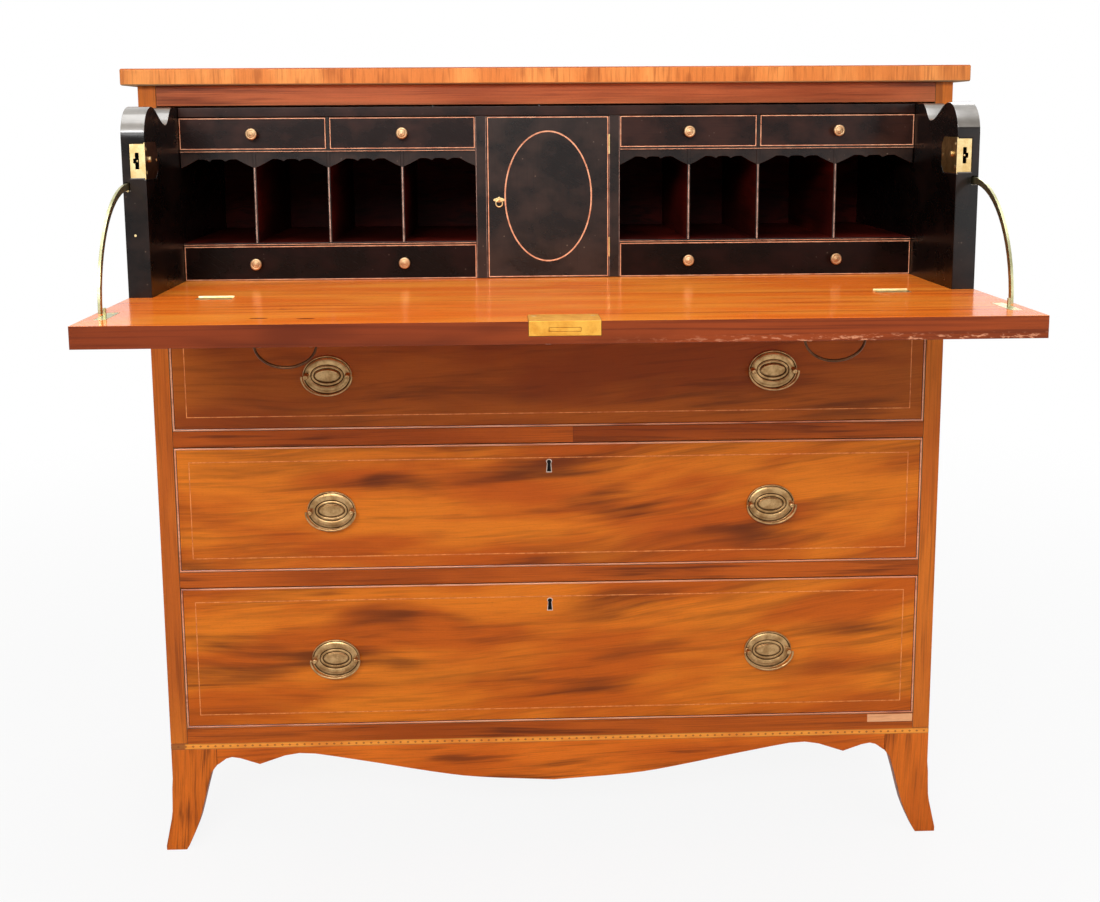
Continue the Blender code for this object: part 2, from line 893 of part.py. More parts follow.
def secretaire_sides(slide):
    top = secretaire_side_height
    under = -writing_board_thickness
    outline = [
        (rebate_depth, -board_nose),
        (rebate_depth, under),
        (secretaire_depth, under),
        (secretaire_depth, top),
        *ease((side_valley_end, top), (side_valley_at, top - side_valley_depth), cove_steps),
        *ease((side_valley_at, top - side_valley_depth), (side_round, top), cove_steps)[1:],
        *arc(side_round, top - side_round, side_round, 90, 180, round_steps)[1:],
        (0, -board_nose),
    ]
    slot_end = stay_start_degrees - 90 - stay_slot_spare_degrees
    slot_start = stay_end_degrees - stay_start_degrees
    slot_outer = stay_radius + stay_width / 2 + stay_slot_play
    slot_inner = stay_radius - stay_width / 2 - stay_slot_play
    slot = [
        *arc(0, 0, slot_outer, slot_end, slot_start, 2 * round_steps),
        *arc(0, 0, slot_inner, slot_start, slot_end, 2 * round_steps),
    ]
    for side, way in sides:
        mesh = outline_mesh(outline, secretaire_side)
        place = (way * (drawer_half - secretaire_side / 2), side_front_y, hinge_z)
        made = piece(f"secretaire_side_{side}", mesh, place, black_polish, seen_from_side, slide)
        slot_mesh = outline_mesh(slot, stay_thickness + 2 * stay_slot_side_play)
        cut(made, helper(slot_mesh, (way * stay_x, hinge_y, hinge_z), seen_from_side))
        side_plate, plate_place, low, high = catch_plates(way, fit_gap)
        cut(made, helper(side_plate, plate_place, seen_from_side))
        cut(made, block_helper(low, high))
        pocket_start = inner_half + catch_plate_thickness
        low_x, high_x = ordered(way * pocket_start, way * (pocket_start + pocket_width))
        cut(
            made,
            block_helper(
                (low_x, side_front_y - overrun, catch_z - pocket_height / 2),
                (high_x, side_front_y + pocket_depth, catch_z + pocket_height / 2),
            ),
        )


def secretaire_back(slide):
    block(
        "secretaire_back",
        (fit_gap - inner_half, inner_back_y, hinge_z - writing_board_thickness),
        (inner_half - fit_gap, side_front_y + secretaire_depth, hinge_z + secretaire_side_height),
        drawer_wood,
        slide,
    )


def catches(slide):
    """A bent plate at the front of each drawer side, with a slot for the lug and a hole for the button."""
    for side, way in sides:
        side_plate, plate_place, low, high = catch_plates(way, 0)
        made = piece(f"catch_{side}", side_plate, plate_place, dark_bronze, seen_from_side, slide)
        join(made, block_helper(low, high))
        slot_half = catch_slot_width / 2
        through_y = side_front_y + catch_plate_thickness + overrun
        cut(
            made,
            block_helper(
                (way * lug_x - slot_half, side_front_y - overrun, catch_z - catch_slot_height / 2),
                (way * lug_x + slot_half, through_y, catch_z + catch_slot_height / 2),
            ),
        )
        notch_start = lug_x + slot_half - lap
        low_x, high_x = ordered(way * notch_start, way * (notch_start + catch_notch_reach))
        cut(
            made,
            block_helper(
                (low_x, side_front_y - overrun, catch_z - catch_notch_height / 2),
                (high_x, through_y, catch_z + catch_notch_height / 2),
            ),
        )
        button_y = side_front_y + button_back
        button_z = catch_z + button_rise
        hole = rod_mesh(button_radius + button_play, 2 * overrun, button_sides)
        cut(made, helper(hole, (way * inner_half, button_y, button_z), along_x))
        button_x = way * (inner_half - button_proud + button_length / 2)
        press = body(f"catch_button_{side}_press", (button_x, button_y, button_z), slide)
        mesh = rod_mesh(button_radius, button_length, button_sides)
        place = (button_x, button_y, button_z)
        piece(f"catch_button_{side}", mesh, place, aged_brass, along_x, press)


# Inside of the secretaire drawer

def interior_top(slide):
    block(
        "interior_top",
        (fit_gap - inner_half, interior_y, interior_top_z + fit_gap),
        (inner_half - fit_gap, inner_back_y - fit_gap, hinge_z + secretaire_side_height),
        black_polish,
        slide,
    )


def valance_edge(start, end):
    """Lower edge of the shaped board over one pigeonhole: three arches with two cusps between them."""
    half = []
    for shares in (valance_flank_shares, valance_lobe_shares, valance_middle_shares):
        half += through(shares)[:-1]
    middle = valance_middle_shares[-1]
    mirrored = [(1 - at, drop) for at, drop in reversed(half)]
    edge = [*half, middle, *mirrored]
    return [(start + (end - start) * at, shelf_2_z - valance_drop * drop) for at, drop in edge]


def bank_edges(way, divider_shares):
    """Where the dividers of a bank stand, from the pilaster outwards."""
    pilaster_x = (cupboard_right if way > 0 else -cupboard_left) + pilaster_width
    outer_x = inner_half - fit_gap
    dividers = [pilaster_x + (outer_x - pilaster_x) * share for share in divider_shares]
    return pilaster_x, dividers, outer_x


def pigeonholes(name, way, divider_shares, slide):
    """Shelves, dividers, pilaster and shaped valances of one bank, as one joined carcase."""
    pilaster_x, dividers, outer_x = bank_edges(way, divider_shares)
    wall_x = pilaster_x - pilaster_width
    half = divider_thickness / 2
    back = inner_back_y - fit_gap
    low_x, high_x = ordered(way * wall_x, way * outer_x)
    low = (low_x, interior_y, hinge_z + fit_gap)
    made = block(name, low, (high_x, back, interior_top_z), black_polish, slide)
    starts = [pilaster_x, *(at + half for at in dividers)]
    ends = [*(at - half for at in dividers), outer_x + overrun]
    spaces = [(at, to, hole_floor_z, shelf_2_z) for at, to in zip(starts, ends)]
    spaces.append((pilaster_x, ends[-1], hinge_z - overrun, shelf_1_z))
    spaces.append((pilaster_x, dividers[1] - half, top_small_z, interior_top_z + overrun))
    spaces.append((dividers[1] + half, ends[-1], top_small_z, interior_top_z + overrun))
    for at, to, floor_z, ceiling_z in spaces:
        near_x, far_x = ordered(way * at, way * to)
        near = (near_x, interior_y - overrun, floor_z)
        cut(made, block_helper(near, (far_x, back + overrun, ceiling_z)))
    board = [(outer_x - lap, shelf_2_z + lap), (wall_x + lap, shelf_2_z + lap)]
    board.append((wall_x + lap, shelf_2_z - valance_drop))
    for at, to in zip(starts, [*ends[:-1], outer_x - 2 * lap]):
        board += valance_edge(at - lap, to + lap)
    valance = outline_mesh([(way * across, up) for across, up in board], valance_thickness)
    valance_y = interior_y + valance_setback + valance_thickness / 2
    combine(made, helper(valance, (0, valance_y, 0), seen_from_front), "UNION", "MANIFOLD")


def small_drawer(name, edges, floor_z, opening, knobs, slide):
    low_x, high_x = edges
    low = Vector((low_x + small_play, interior_y, floor_z + fit_gap))
    high = Vector((high_x - small_play, interior_y + small_depth, floor_z + opening - small_top_play))
    middle_z = (low.z + high.z) / 2
    own = body(f"{name}_slide", ((low_x + high_x) / 2, interior_y, middle_z), slide)
    made = block(name, low, high, black_polish, own)
    cut(
        made,
        block_helper(
            (low.x + small_wall, low.y + small_front, low.z + small_bottom),
            (high.x - small_wall, high.y - small_wall, high.z + overrun),
        ),
    )
    profile = scaled(knob_profile_shares, knob_radius, knob_reach)
    for knob_x in knobs:
        knob = turned_mesh([*profile, (profile[-1][0], -lap), (0, -lap)], knob_sides)
        place = (knob_x, interior_y, middle_z - knob_below_middle)
        join(made, helper(knob, place, towards_front))


def small_drawers(slide):
    """On each side two short drawers over the pigeonholes, and a long one with two knobs below."""
    for side, way, divider_shares in (
        ("left", -1, left_divider_shares),
        ("right", 1, right_divider_shares),
    ):
        pilaster_x, dividers, outer_x = bank_edges(way, divider_shares)
        half = divider_thickness / 2
        inner = ordered(way * pilaster_x, way * (dividers[1] - half))
        outer = ordered(way * (dividers[1] + half), way * outer_x)
        knobs = (sum(inner) / 2, sum(outer) / 2)
        for place, edges, knob_x in (("inner", inner, knobs[0]), ("outer", outer, knobs[1])):
            name = f"top_drawer_{side}_{place}"
            small_drawer(name, edges, top_small_z, top_small_opening, (knob_x,), slide)
        whole = ordered(way * pilaster_x, way * outer_x)
        small_drawer(f"lower_drawer_{side}", whole, hinge_z, long_small_opening, knobs, slide)


def cupboard(slide):
    hinge_x = cupboard_right
    swing = body("cupboard_door_hinge", (hinge_x, interior_y, hinge_z), slide)
    block(
        "cupboard_door",
        (cupboard_left + door_play, interior_y, hinge_z + door_play),
        (cupboard_right - door_play, interior_y + door_thickness, interior_top_z - door_play),
        black_polish,
        swing,
    )
    pull_z = hinge_z + door_pull_height
    wing_face = interior_y - fit_gap
    wing_front = wing_face - door_pull_plate_thickness
    wing = block(
        "door_pull_plate",
        (door_pull_x - door_pull_wing_width / 2, wing_front, pull_z - door_pull_wing_height / 2),
        (door_pull_x + door_pull_wing_width / 2, wing_face, pull_z + door_pull_wing_height / 2),
        aged_brass,
        swing,
    )
    ear_half = door_ear_width / 2
    join(
        wing,
        block_helper(
            (door_pull_x - ear_half, wing_face - door_ear_reach - lap, pull_z - door_ear_height / 2),
            (door_pull_x + ear_half, wing_front + lap, pull_z + door_ear_height / 2),
        ),
    )
    pivot = (door_pull_x, wing_face - door_ring_stand, pull_z)
    hole = rod_mesh(door_ring_hole, 2 * (door_ear_width + overrun), post_sides)
    cut(wing, helper(hole, pivot, along_x))
    ring = []
    for step in range(door_ring_points):
        turn = 2 * math.pi * step / door_ring_points
        ring.append((door_ring_radius * math.sin(turn), 0, door_ring_radius * (math.cos(turn) - 1)))
    drop = body("door_drop_pivot", pivot, swing)
    mesh = tube_mesh(ring, door_ring_wire, [1.0] * door_ring_points, closed=True)
    piece("door_drop", mesh, pivot, aged_brass, parent=drop)


# Fall

def lock_bed(grow):
    """Section of the lock's two plates, or of their bed in the fall."""
    tip = hinge_y - fall_length
    beyond = overrun if grow else 0
    plate = lock_plate_thickness + grow
    return [
        (tip - beyond, hinge_z + beyond),
        (tip - beyond, hinge_z - lock_edge_height - grow),
        (tip + plate, hinge_z - lock_edge_height - grow),
        (tip + plate, hinge_z - plate),
        (tip + lock_reach + grow, hinge_z - plate),
        (tip + lock_reach + grow, hinge_z + beyond),
    ]


def lock_case(grow):
    """Case behind the plates of the lock, or its mortise in the fall."""
    tip = hinge_y - fall_length
    half = lock_case_width / 2 + grow
    top_z = hinge_z - lock_plate_thickness + lap
    low = (-half, tip + lock_plate_thickness - lap, hinge_z - lock_edge_height - grow)
    high = (half, tip + lock_case_reach + grow, top_z)
    return block_helper(low, high)


def lock_bolt(grow):
    tip = hinge_y - fall_length
    half = lock_bolt_width / 2 + grow
    thick = lock_bolt_thickness / 2 + grow
    low = (-half, tip - (overrun if grow else 0), hinge_z - lock_bolt_below - thick)
    high = (half, tip + lock_bolt_length + grow, hinge_z - lock_bolt_below + thick)
    return low, high


def fall_lock(swing):
    mesh = outline_mesh(lock_bed(0), lock_width)
    made = piece("fall_lock", mesh, (0, 0, 0), bright_brass, seen_from_side, swing)
    join(made, lock_case(0))
    cut(made, block_helper(*lock_bolt(fit_gap)))
    low, high = lock_bolt(0)
    slide = body("fall_lock_bolt_slide", (Vector(low) + Vector(high)) / 2, swing)
    block("fall_lock_bolt", low, high, steel, slide)


def leaf(way, grow):
    """A hinge leaf let into the fall, or its bed."""
    half = hinge_leaf_width / 2 + grow
    middle = way * hinge_leaf_middle
    above = overrun if grow else 0
    low = (middle - half, hinge_y - hinge_leaf_reach - grow, hinge_z - hinge_leaf_thickness - grow)
    high = (middle + half, hinge_y - (0 if grow else hinge_gap) + above, hinge_z + above)
    return low, high


def fall_hinges(swing):
    for side, way in sides:
        made = block(f"fall_hinge_{side}", *leaf(way, 0), aged_brass, swing)
        barrel = rod_mesh(hinge_barrel_radius, hinge_leaf_width, hinge_sides)
        join(made, helper(barrel, (way * hinge_leaf_middle, hinge_y, hinge_z), along_x))


def stay_foot(way, grow):
    """Plate let into the end of the fall, and the arm that carries the stay, or their beds."""
    half = fall_plate_width / 2 + grow
    middle = way * fall_plate_x
    low_z = hinge_z - fall_plate_thickness - grow
    high_z = hinge_z + (overrun if grow else 0)
    plate_low = (middle - half, hinge_y - fall_plate_far - grow, low_z)
    plate_high = (middle + half, hinge_y - fall_plate_near + grow, high_z)
    arm_half = stay_width / 2 - lap + grow
    near_x = way * (fall_plate_x + fall_plate_width / 2 - lap)
    low_x, high_x = ordered(near_x, way * stay_x)
    arm_low = (low_x, hinge_y - stay_radius - arm_half, low_z + fit_gap)
    arm_high = (high_x, hinge_y - stay_radius + arm_half, high_z - (0 if grow else fit_gap))
    return (plate_low, plate_high), (arm_low, arm_high)


def stays(swing):
    """Arcs about the hinge line that slide into the drawer sides as the fall is raised.

    The foot of each is a plate let into the fall, and on it stands the lug that the catch holds.
    """
    outer = stay_radius + stay_width / 2
    inner = stay_radius - stay_width / 2
    outline = [
        *arc(0, 0, outer, stay_start_degrees, stay_end_degrees, 2 * round_steps),
        (-outer, -stay_tenon),
        (-inner, -stay_tenon),
        *arc(0, 0, inner, stay_end_degrees, stay_start_degrees, 2 * round_steps),
    ]
    for side, way in sides:
        mesh = outline_mesh(outline, stay_thickness)
        place = (way * stay_x, hinge_y, hinge_z)
        made = piece(f"stay_{side}", mesh, place, aged_brass, seen_from_side, swing)
        for low, high in stay_foot(way, 0):
            join(made, block_helper(low, high))
        middle = way * lug_x
        join(
            made,
            block_helper(
                (middle - lug_width / 2, hinge_y - lug_near - lug_thickness, hinge_z - lap),
                (middle + lug_width / 2, hinge_y - lug_near, hinge_z + lug_height),
            ),
        )


def fall_front(swing):
    tip = hinge_y - fall_length
    under_z = hinge_z - fall_thickness
    section = [
        (-fall_length, -fall_thickness),
        (lip_length, -fall_thickness),
        (lip_length, lip_thickness - fall_thickness),
        (0, lip_thickness - fall_thickness),
        (0, 0),
        (-fall_length, 0),
    ]
    mesh = outline_mesh(section, 2 * drawer_half)
    place = (0, hinge_y, hinge_z)
    made = piece("fall_front", mesh, place, writing_veneer, seen_from_side, swing)
    cut(
        made,
        block_helper(
            (bead_width - drawer_half, tip + bead_width, under_z - overrun),
            (drawer_half - bead_width, hinge_y + lip_length - bead_width, under_z + bead_rise),
        ),
    )
    key_y = tip + keyhole_below_top
    cut(made, keyhole((keyhole_x, key_y, under_z), seen_from_below))
    bed = outline_mesh(lock_bed(fit_gap), lock_width + 2 * fit_gap)
    cut(made, helper(bed, (0, 0, 0), seen_from_side))
    cut(made, lock_case(fit_gap))
    for _, way in sides:
        cut(made, block_helper(*leaf(way, fit_gap)))
        cut(made, barrel_groove(way))
        for low, high in stay_foot(way, fit_gap):
            cut(made, block_helper(low, high))
        half_x = stay_thickness / 2 + fit_gap
        half_y = stay_width / 2 + fit_gap
        middle_y = hinge_y - stay_radius
        cut(
            made,
            block_helper(
                (way * stay_x - half_x, middle_y - half_y, hinge_z - stay_tenon - fit_gap),
                (way * stay_x + half_x, middle_y + half_y, hinge_z + overrun),
            ),
        )


def fall_pulls(plate, bail, swing):
    """The fall's pulls face down while it is open, with their bails hanging free."""
    plate_z = hinge_z - fall_thickness + bead_rise - fit_gap
    pull_y = hinge_y - fall_pull_reach
    for side, way in sides:
        place = (way * pull_x, pull_y, plate_z)
        pivot = (way * pull_x, pull_y, plate_z - pivot_stand)
        pull(f"fall_{side}", plate, bail, place, (math.pi / 2, 0, 0), pivot, swing)


# Assembly

carcase_top()
carcase_sides()
carcase_back()
top_rail()
drawer_rails()
carcase_bottom()
apron()
feet()
pull_plate = pull_plate_mesh()
pull_bail = bail_mesh()
long_drawers(pull_plate, pull_bail)
secretaire = body("secretaire_drawer_slide", (0, side_front_y, hinge_z))
writing_board(secretaire)
secretaire_sides(secretaire)
secretaire_back(secretaire)
catches(secretaire)
interior_top(secretaire)
pigeonholes("pigeonholes_left", -1, left_divider_shares, secretaire)
pigeonholes("pigeonholes_right", 1, right_divider_shares, secretaire)
small_drawers(secretaire)
cupboard(secretaire)
fall = body("fall_hinge_line", (0, hinge_y, hinge_z), secretaire)
fall_front(fall)
fall_lock(fall)
fall_hinges(fall)
stays(fall)
fall_pulls(pull_plate, pull_bail, fall)
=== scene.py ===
"""Looks of a mahogany secretaire cabinet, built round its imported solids. Metres, +Z up, front towards -Y."""

import json
import math

import bmesh
import bpy
from mathutils import Matrix, Vector


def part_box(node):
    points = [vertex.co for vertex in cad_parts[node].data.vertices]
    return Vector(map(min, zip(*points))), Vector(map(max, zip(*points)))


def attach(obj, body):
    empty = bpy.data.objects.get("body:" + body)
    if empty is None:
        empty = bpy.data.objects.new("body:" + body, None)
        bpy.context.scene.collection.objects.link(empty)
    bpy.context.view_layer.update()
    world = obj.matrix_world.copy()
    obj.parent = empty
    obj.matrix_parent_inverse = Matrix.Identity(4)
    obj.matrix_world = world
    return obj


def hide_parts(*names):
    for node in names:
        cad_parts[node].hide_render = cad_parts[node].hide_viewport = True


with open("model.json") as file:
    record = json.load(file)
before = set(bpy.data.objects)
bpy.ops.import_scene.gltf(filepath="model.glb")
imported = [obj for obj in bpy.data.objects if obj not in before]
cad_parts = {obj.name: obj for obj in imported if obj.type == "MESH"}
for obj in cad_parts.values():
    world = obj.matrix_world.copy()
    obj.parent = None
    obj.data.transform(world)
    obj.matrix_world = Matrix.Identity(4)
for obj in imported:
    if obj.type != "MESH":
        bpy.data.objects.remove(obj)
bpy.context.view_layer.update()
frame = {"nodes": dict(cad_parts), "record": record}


# Colours

def srgb(red, green, blue):
    """A colour as it looks on a screen, from 0 to 255, as Blender's linear one."""
    linear = []
    for part in (red, green, blue):
        share = part / 255
        linear.append(share / 12.92 if share <= 0.04045 else ((share + 0.055) / 1.055) ** 2.4)
    return (*linear, 1.0)


# Shader trees

class Value:
    """A number that changes over a surface. Arithmetic on it adds Math nodes."""

    def __init__(self, nodes, socket):
        self.nodes = nodes
        self.socket = socket

    def __add__(self, other):
        return self.nodes.math("ADD", self, other)

    def __radd__(self, other):
        return self.nodes.math("ADD", other, self)

    def __sub__(self, other):
        return self.nodes.math("SUBTRACT", self, other)

    def __rsub__(self, other):
        return self.nodes.math("SUBTRACT", other, self)

    def __mul__(self, other):
        return self.nodes.math("MULTIPLY", self, other)

    def __rmul__(self, other):
        return self.nodes.math("MULTIPLY", other, self)

    def __truediv__(self, other):
        return self.nodes.math("DIVIDE", self, other)

    def __rtruediv__(self, other):
        return self.nodes.math("DIVIDE", other, self)

    def between(self, low, high):
        """0 at low, 1 at high, and smooth between them."""
        sockets = {"Value": self, "From Min": low, "From Max": high}
        return self.nodes.node("ShaderNodeMapRange", sockets, interpolation_type="SMOOTHSTEP")

    def above(self, level):
        return self.nodes.math("GREATER_THAN", self, level)

    def most(self, other):
        return self.nodes.math("MAXIMUM", self, other)

    def size(self):
        return self.nodes.math("ABSOLUTE", self, 0.0)

    def part(self):
        return self.nodes.math("FRACT", self, 0.0)


class Nodes:
    """A shader tree whose nodes all come from one method."""

    def __init__(self, tree):
        self.tree = tree

    def node(self, kind, sockets=None, output=0, **settings):
        """One output of a new node, made with its settings and then the values or links of its sockets."""
        made = self.tree.nodes.new(kind)
        for name, setting in settings.items():
            setattr(made, name, setting)
        for name, value in (sockets or {}).items():
            self.feed(made.inputs[name], value)
        return Value(self, made.outputs[output])

    def feed(self, socket, value):
        if isinstance(value, Value):
            self.tree.links.new(value.socket, socket)
        else:
            socket.default_value = value

    def math(self, operation, first, second):
        return self.node("ShaderNodeMath", {0: first, 1: second}, operation=operation)

    def mix(self, share, first, second):
        """Two colours mixed by a share."""
        return self.node("ShaderNodeMix", {"Factor": share, 6: first, 7: second}, 2, data_type="RGBA")

    def axes(self, place):
        """X, Y and Z of a place."""
        return [self.node("ShaderNodeSeparateXYZ", {0: place}, axis) for axis in range(3)]

    def ray(self, kind):
        """1 for the rays of one kind, such as those straight from the camera."""
        return self.node("ShaderNodeLightPath", output=f"Is {kind} Ray")


class Finish(Nodes):
    """One procedural material. Patterns lie in the object's own coordinates, in metres."""

    def __init__(self, name):
        self.material = bpy.data.materials.new(name)
        self.material.use_nodes = True
        super().__init__(self.material.node_tree)
        self.shader = self.tree.nodes["Principled BSDF"]
        self.place = self.node("ShaderNodeTexCoord", output="Object")

    def grain(self, sizes, turn=(0, 0, 0), shift=(0, 0, 0), place=None):
        """Places for a pattern whose features have these sizes along X, Y and Z."""
        sockets = {"Vector": place or self.place, "Location": shift, "Rotation": turn, "Scale": sizes}
        return self.node("ShaderNodeMapping", sockets, vector_type="TEXTURE")

    def noise(self, place, detail=2.0, rough=0.5, bend=0.0):
        sockets = {"Vector": place, "Scale": 1.0, "Detail": detail, "Roughness": rough, "Distortion": bend}
        return self.node("ShaderNodeTexNoise", sockets)

    def cells(self, place):
        """How far it is to the nearest of many scattered points."""
        return self.node("ShaderNodeTexVoronoi", {"Vector": place, "Scale": 1.0}, "Distance")

    def pushed(self, place, push):
        """A place moved by numbers along X, Y and Z."""
        away = self.node("ShaderNodeCombineXYZ", dict(enumerate(push)))
        return self.node("ShaderNodeVectorMath", {0: place, 1: away}, operation="ADD")

    def show(self, colour, roughness, bump=None, depth=0.0, metallic=0.0, coat=0.0, level=0.5):
        shader = self.shader.inputs
        self.feed(shader["Base Color"], colour)
        self.feed(shader["Roughness"], roughness)
        self.feed(shader["Metallic"], metallic)
        self.feed(shader["Coat Weight"], coat)
        shader["Coat Roughness"].default_value = 0.1
        shader["Specular IOR Level"].default_value = level
        if bump is not None:
            sockets = {"Height": bump, "Distance": depth, "Strength": 1.0}
            self.feed(shader["Normal"], self.node("ShaderNodeBump", sockets))
        return self.material


# Woods

AXES = {"x": 0, "y": 1, "z": 2}


def sized(along, across, length, width):
    """Feature sizes: long on one axis, narrow on another, and between them through the wood."""
    sizes = [length / 3] * 3
    sizes[AXES[along]] = length
    sizes[AXES[across]] = width
    return sizes


def veneer(
    name,
    light,
    mid,
    deep,
    along="x",
    across="z",
    seed=0.0,
    band=(0.17, 0.030),
    rise=0.0,
    bands=0.75,
    cover=(0.46, 0.72),
    patch=(0.30, 0.085),
    open_ground=0.30,
    streaks=0.30,
    sway=0.010,
    joints=(),
    leaf_tone=0.12,
    gloss=0.30,
    coat=0.08,
    level=0.14,
):
    """Polished mahogany: patches of smoky bands that rise along the leaf, thin streaks, grain and pores."""
    light, mid, deep = srgb(*light), srgb(*mid), srgb(*deep)
    made = Finish(name)
    shift = (seed * 1.37, seed * 0.71, seed * 0.93)
    length = made.axes(made.place)[AXES[along]]
    leaf = 0.0
    for joint in joints:
        leaf = leaf + length.above(joint)
    bent = made.noise(made.grain(sized(along, across, 0.34, 0.11), shift=shift), 1.0)
    curve = (length + 0.5) * (length + 0.5) * (rise / 2)
    push = [leaf * 0.31 if joints else 0.0] * 3
    push[AXES[across]] = (bent - 0.5) * (4 * sway) - curve + push[AXES[across]]
    place = made.pushed(made.place, push)

    def figure(sizes, detail, rough=0.5, bend=0.0):
        spots = made.grain(sized(along, across, *sizes), shift=shift, place=place)
        return made.noise(spots, detail, rough, bend)

    broad = figure((0.28, 0.06), 3.0)
    flame = figure(band, 2.0, 0.5, 0.3)
    where = figure(patch, 1.0)
    thin = figure((band[0] * 0.8, band[1] * 0.22), 3.0, 0.55, 0.2)
    fine = figure((0.045, 0.0010), 3.0, 0.6)
    pores = figure((0.006, 0.0004), 1.0)
    open_pores = pores.between(0.58, 0.70)
    smoky = flame + (thin - 0.5) * 0.30 + (fine - 0.5) * 0.08
    held = open_ground + where.between(0.42, 0.60) * (1 - open_ground)
    colour = made.mix(broad.between(0.36, 0.62), light, mid)
    colour = made.mix(smoky.between(*cover) * held * bands, colour, deep)
    colour = made.mix(thin.between(0.48, 0.74) * streaks, colour, deep)
    colour = made.mix(fine.between(0.38, 0.72) * 0.16, colour, deep)
    colour = made.mix(open_pores * 0.16, colour, deep)
    if joints:
        colour = made.mix(leaf * leaf_tone, colour, deep)
        for joint in joints:
            seam = 1 - (length - joint).size().between(0.0002, 0.0007)
            colour = made.mix(seam * 0.45, colour, deep)
    rub = made.noise(made.grain((0.06, 0.06, 0.06), shift=shift), 3.0)
    roughness = gloss + rub * 0.12 + open_pores * 0.10
    return made.show(colour, roughness, fine + open_pores * -0.6, 0.00005, coat=coat, level=level)


def ebonised(name, light, dark, along="z", across="x", worn=0.0, gloss=0.20, coat=0.15, level=0.3):
    """Black stain under polish, with brown rubbed through, fine scratches and a few pale specks."""
    light, dark = srgb(*light), srgb(*dark)
    made = Finish(name)
    rub = made.noise(made.grain((0.07, 0.07, 0.05)), 4.0, 0.6)
    grain = made.noise(made.grain(sized(along, across, 0.06, 0.0022)), 3.0, 0.6)
    scratch = made.noise(made.grain((0.020, 0.020, 0.0008), (0.35, 0.5, 0.2)), 2.0, 0.7)
    colour = made.mix(rub.between(0.40, 0.66), dark, light)
    colour = made.mix(grain.between(0.52, 0.78) * 0.55, colour, dark)
    colour = made.mix(scratch.between(0.66, 0.76) * 0.12, colour, srgb(86, 66, 56))
    if worn:
        specks = 1 - made.cells(made.grain((0.011, 0.011, 0.011))).between(0.05, 0.10)
        colour = made.mix(specks * rub.between(0.5, 0.6) * worn, colour, srgb(150, 132, 114))
    roughness = gloss + rub * 0.16 + scratch.between(0.62, 0.76) * 0.12
    return made.show(colour, roughness, grain + scratch * 0.3, 0.00004, coat=coat, level=level)


def plain_wood(name, light, dark, along="y", across="z", seed=0.0, rough=0.6, ring=0.006):
    """Bare secondary wood with straight growth lines and old stains."""
    light, dark = srgb(*light), srgb(*dark)
    made = Finish(name)
    shift = (seed, seed * 0.7, seed * 1.9)
    lines = made.noise(made.grain(sized(along, across, 0.6, ring), shift=shift), 3.0, 0.55, 0.5)
    fine = made.noise(made.grain(sized(along, across, 0.03, 0.0006), shift=shift), 3.0, 0.6)
    stain = made.noise(made.grain((0.20, 0.20, 0.15), shift=shift), 4.0, 0.6)
    colour = made.mix(lines.between(0.35, 0.68), light, dark)
    colour = made.mix(fine.between(0.45, 0.8) * 0.3, colour, dark)
    colour = made.mix(stain.between(0.52, 0.80) * 0.35, colour, srgb(92, 66, 42))
    return made.show(colour, rough + fine * 0.15, lines + fine * 0.5, 0.00012)


def inlay_wood(name, light, dark):
    """Stringing wood, dulled by polish and broken here and there by dirt."""
    light, dark = srgb(*light), srgb(*dark)
    made = Finish(name)
    fine = made.noise(made.grain((0.010, 0.010, 0.010)), 4.0, 0.65)
    dirt = made.noise(made.grain((0.035, 0.035, 0.035)), 2.0)
    colour = made.mix(fine.between(0.35, 0.7), light, dark)
    colour = made.mix(dirt.between(0.52, 0.70) * 0.6, colour, dark)
    return made.show(colour, 0.35 + fine * 0.15, fine, 0.00002, coat=0.1, level=0.3)


drawer_light = (224, 122, 26)
drawer_mid = (190, 86, 12)
drawer_deep = (80, 32, 4)

drawer_face = {
    # Drawer 1 takes darker colours than the other drawers: painted shadow of the open fall above it.
    1: veneer("drawer_1_face_painted_shadow", (178, 90, 20), (150, 66, 10), drawer_deep, seed=1.3, rise=0.10, bands=0.60),
    2: veneer(
        "drawer_2_face", drawer_light, drawer_mid, drawer_deep, seed=4.1, rise=0.16, bands=0.85,
        band=(0.20, 0.036), cover=(0.42, 0.76), open_ground=0.4,
    ),
    3: veneer(
        "drawer_3_face", (228, 124, 26), (198, 92, 12), drawer_deep, seed=7.7, rise=0.15, bands=0.74,
        band=(0.20, 0.036), cover=(0.44, 0.76),
    ),
}
fall_outer = veneer("fall_outer_face", drawer_light, drawer_mid, drawer_deep, across="y", seed=9.2, rise=0.14)
top_face = veneer(
    "top_face", (190, 96, 36), (160, 72, 24), (80, 32, 10),
    across="y", seed=2.2, band=(0.34, 0.024), bands=0.55, sway=0.02, gloss=0.24,
)


def crossbanding(name, across, seed):
    return veneer(
        name, (240, 158, 84), (218, 130, 62), (150, 76, 30),
        along="z", across=across, seed=seed, band=(0.06, 0.014), bands=0.55, patch=(0.1, 0.10),
        streaks=0.45, sway=0.001, gloss=0.36,
    )


def rail_veneer(name, seed, band, joints=(), leaf_tone=0.0):
    return veneer(
        name, (194, 92, 20), (164, 72, 10), (74, 28, 4), seed=seed, band=band, bands=0.7,
        patch=(0.2, 0.2), sway=0.003, joints=joints, leaf_tone=leaf_tone,
    )


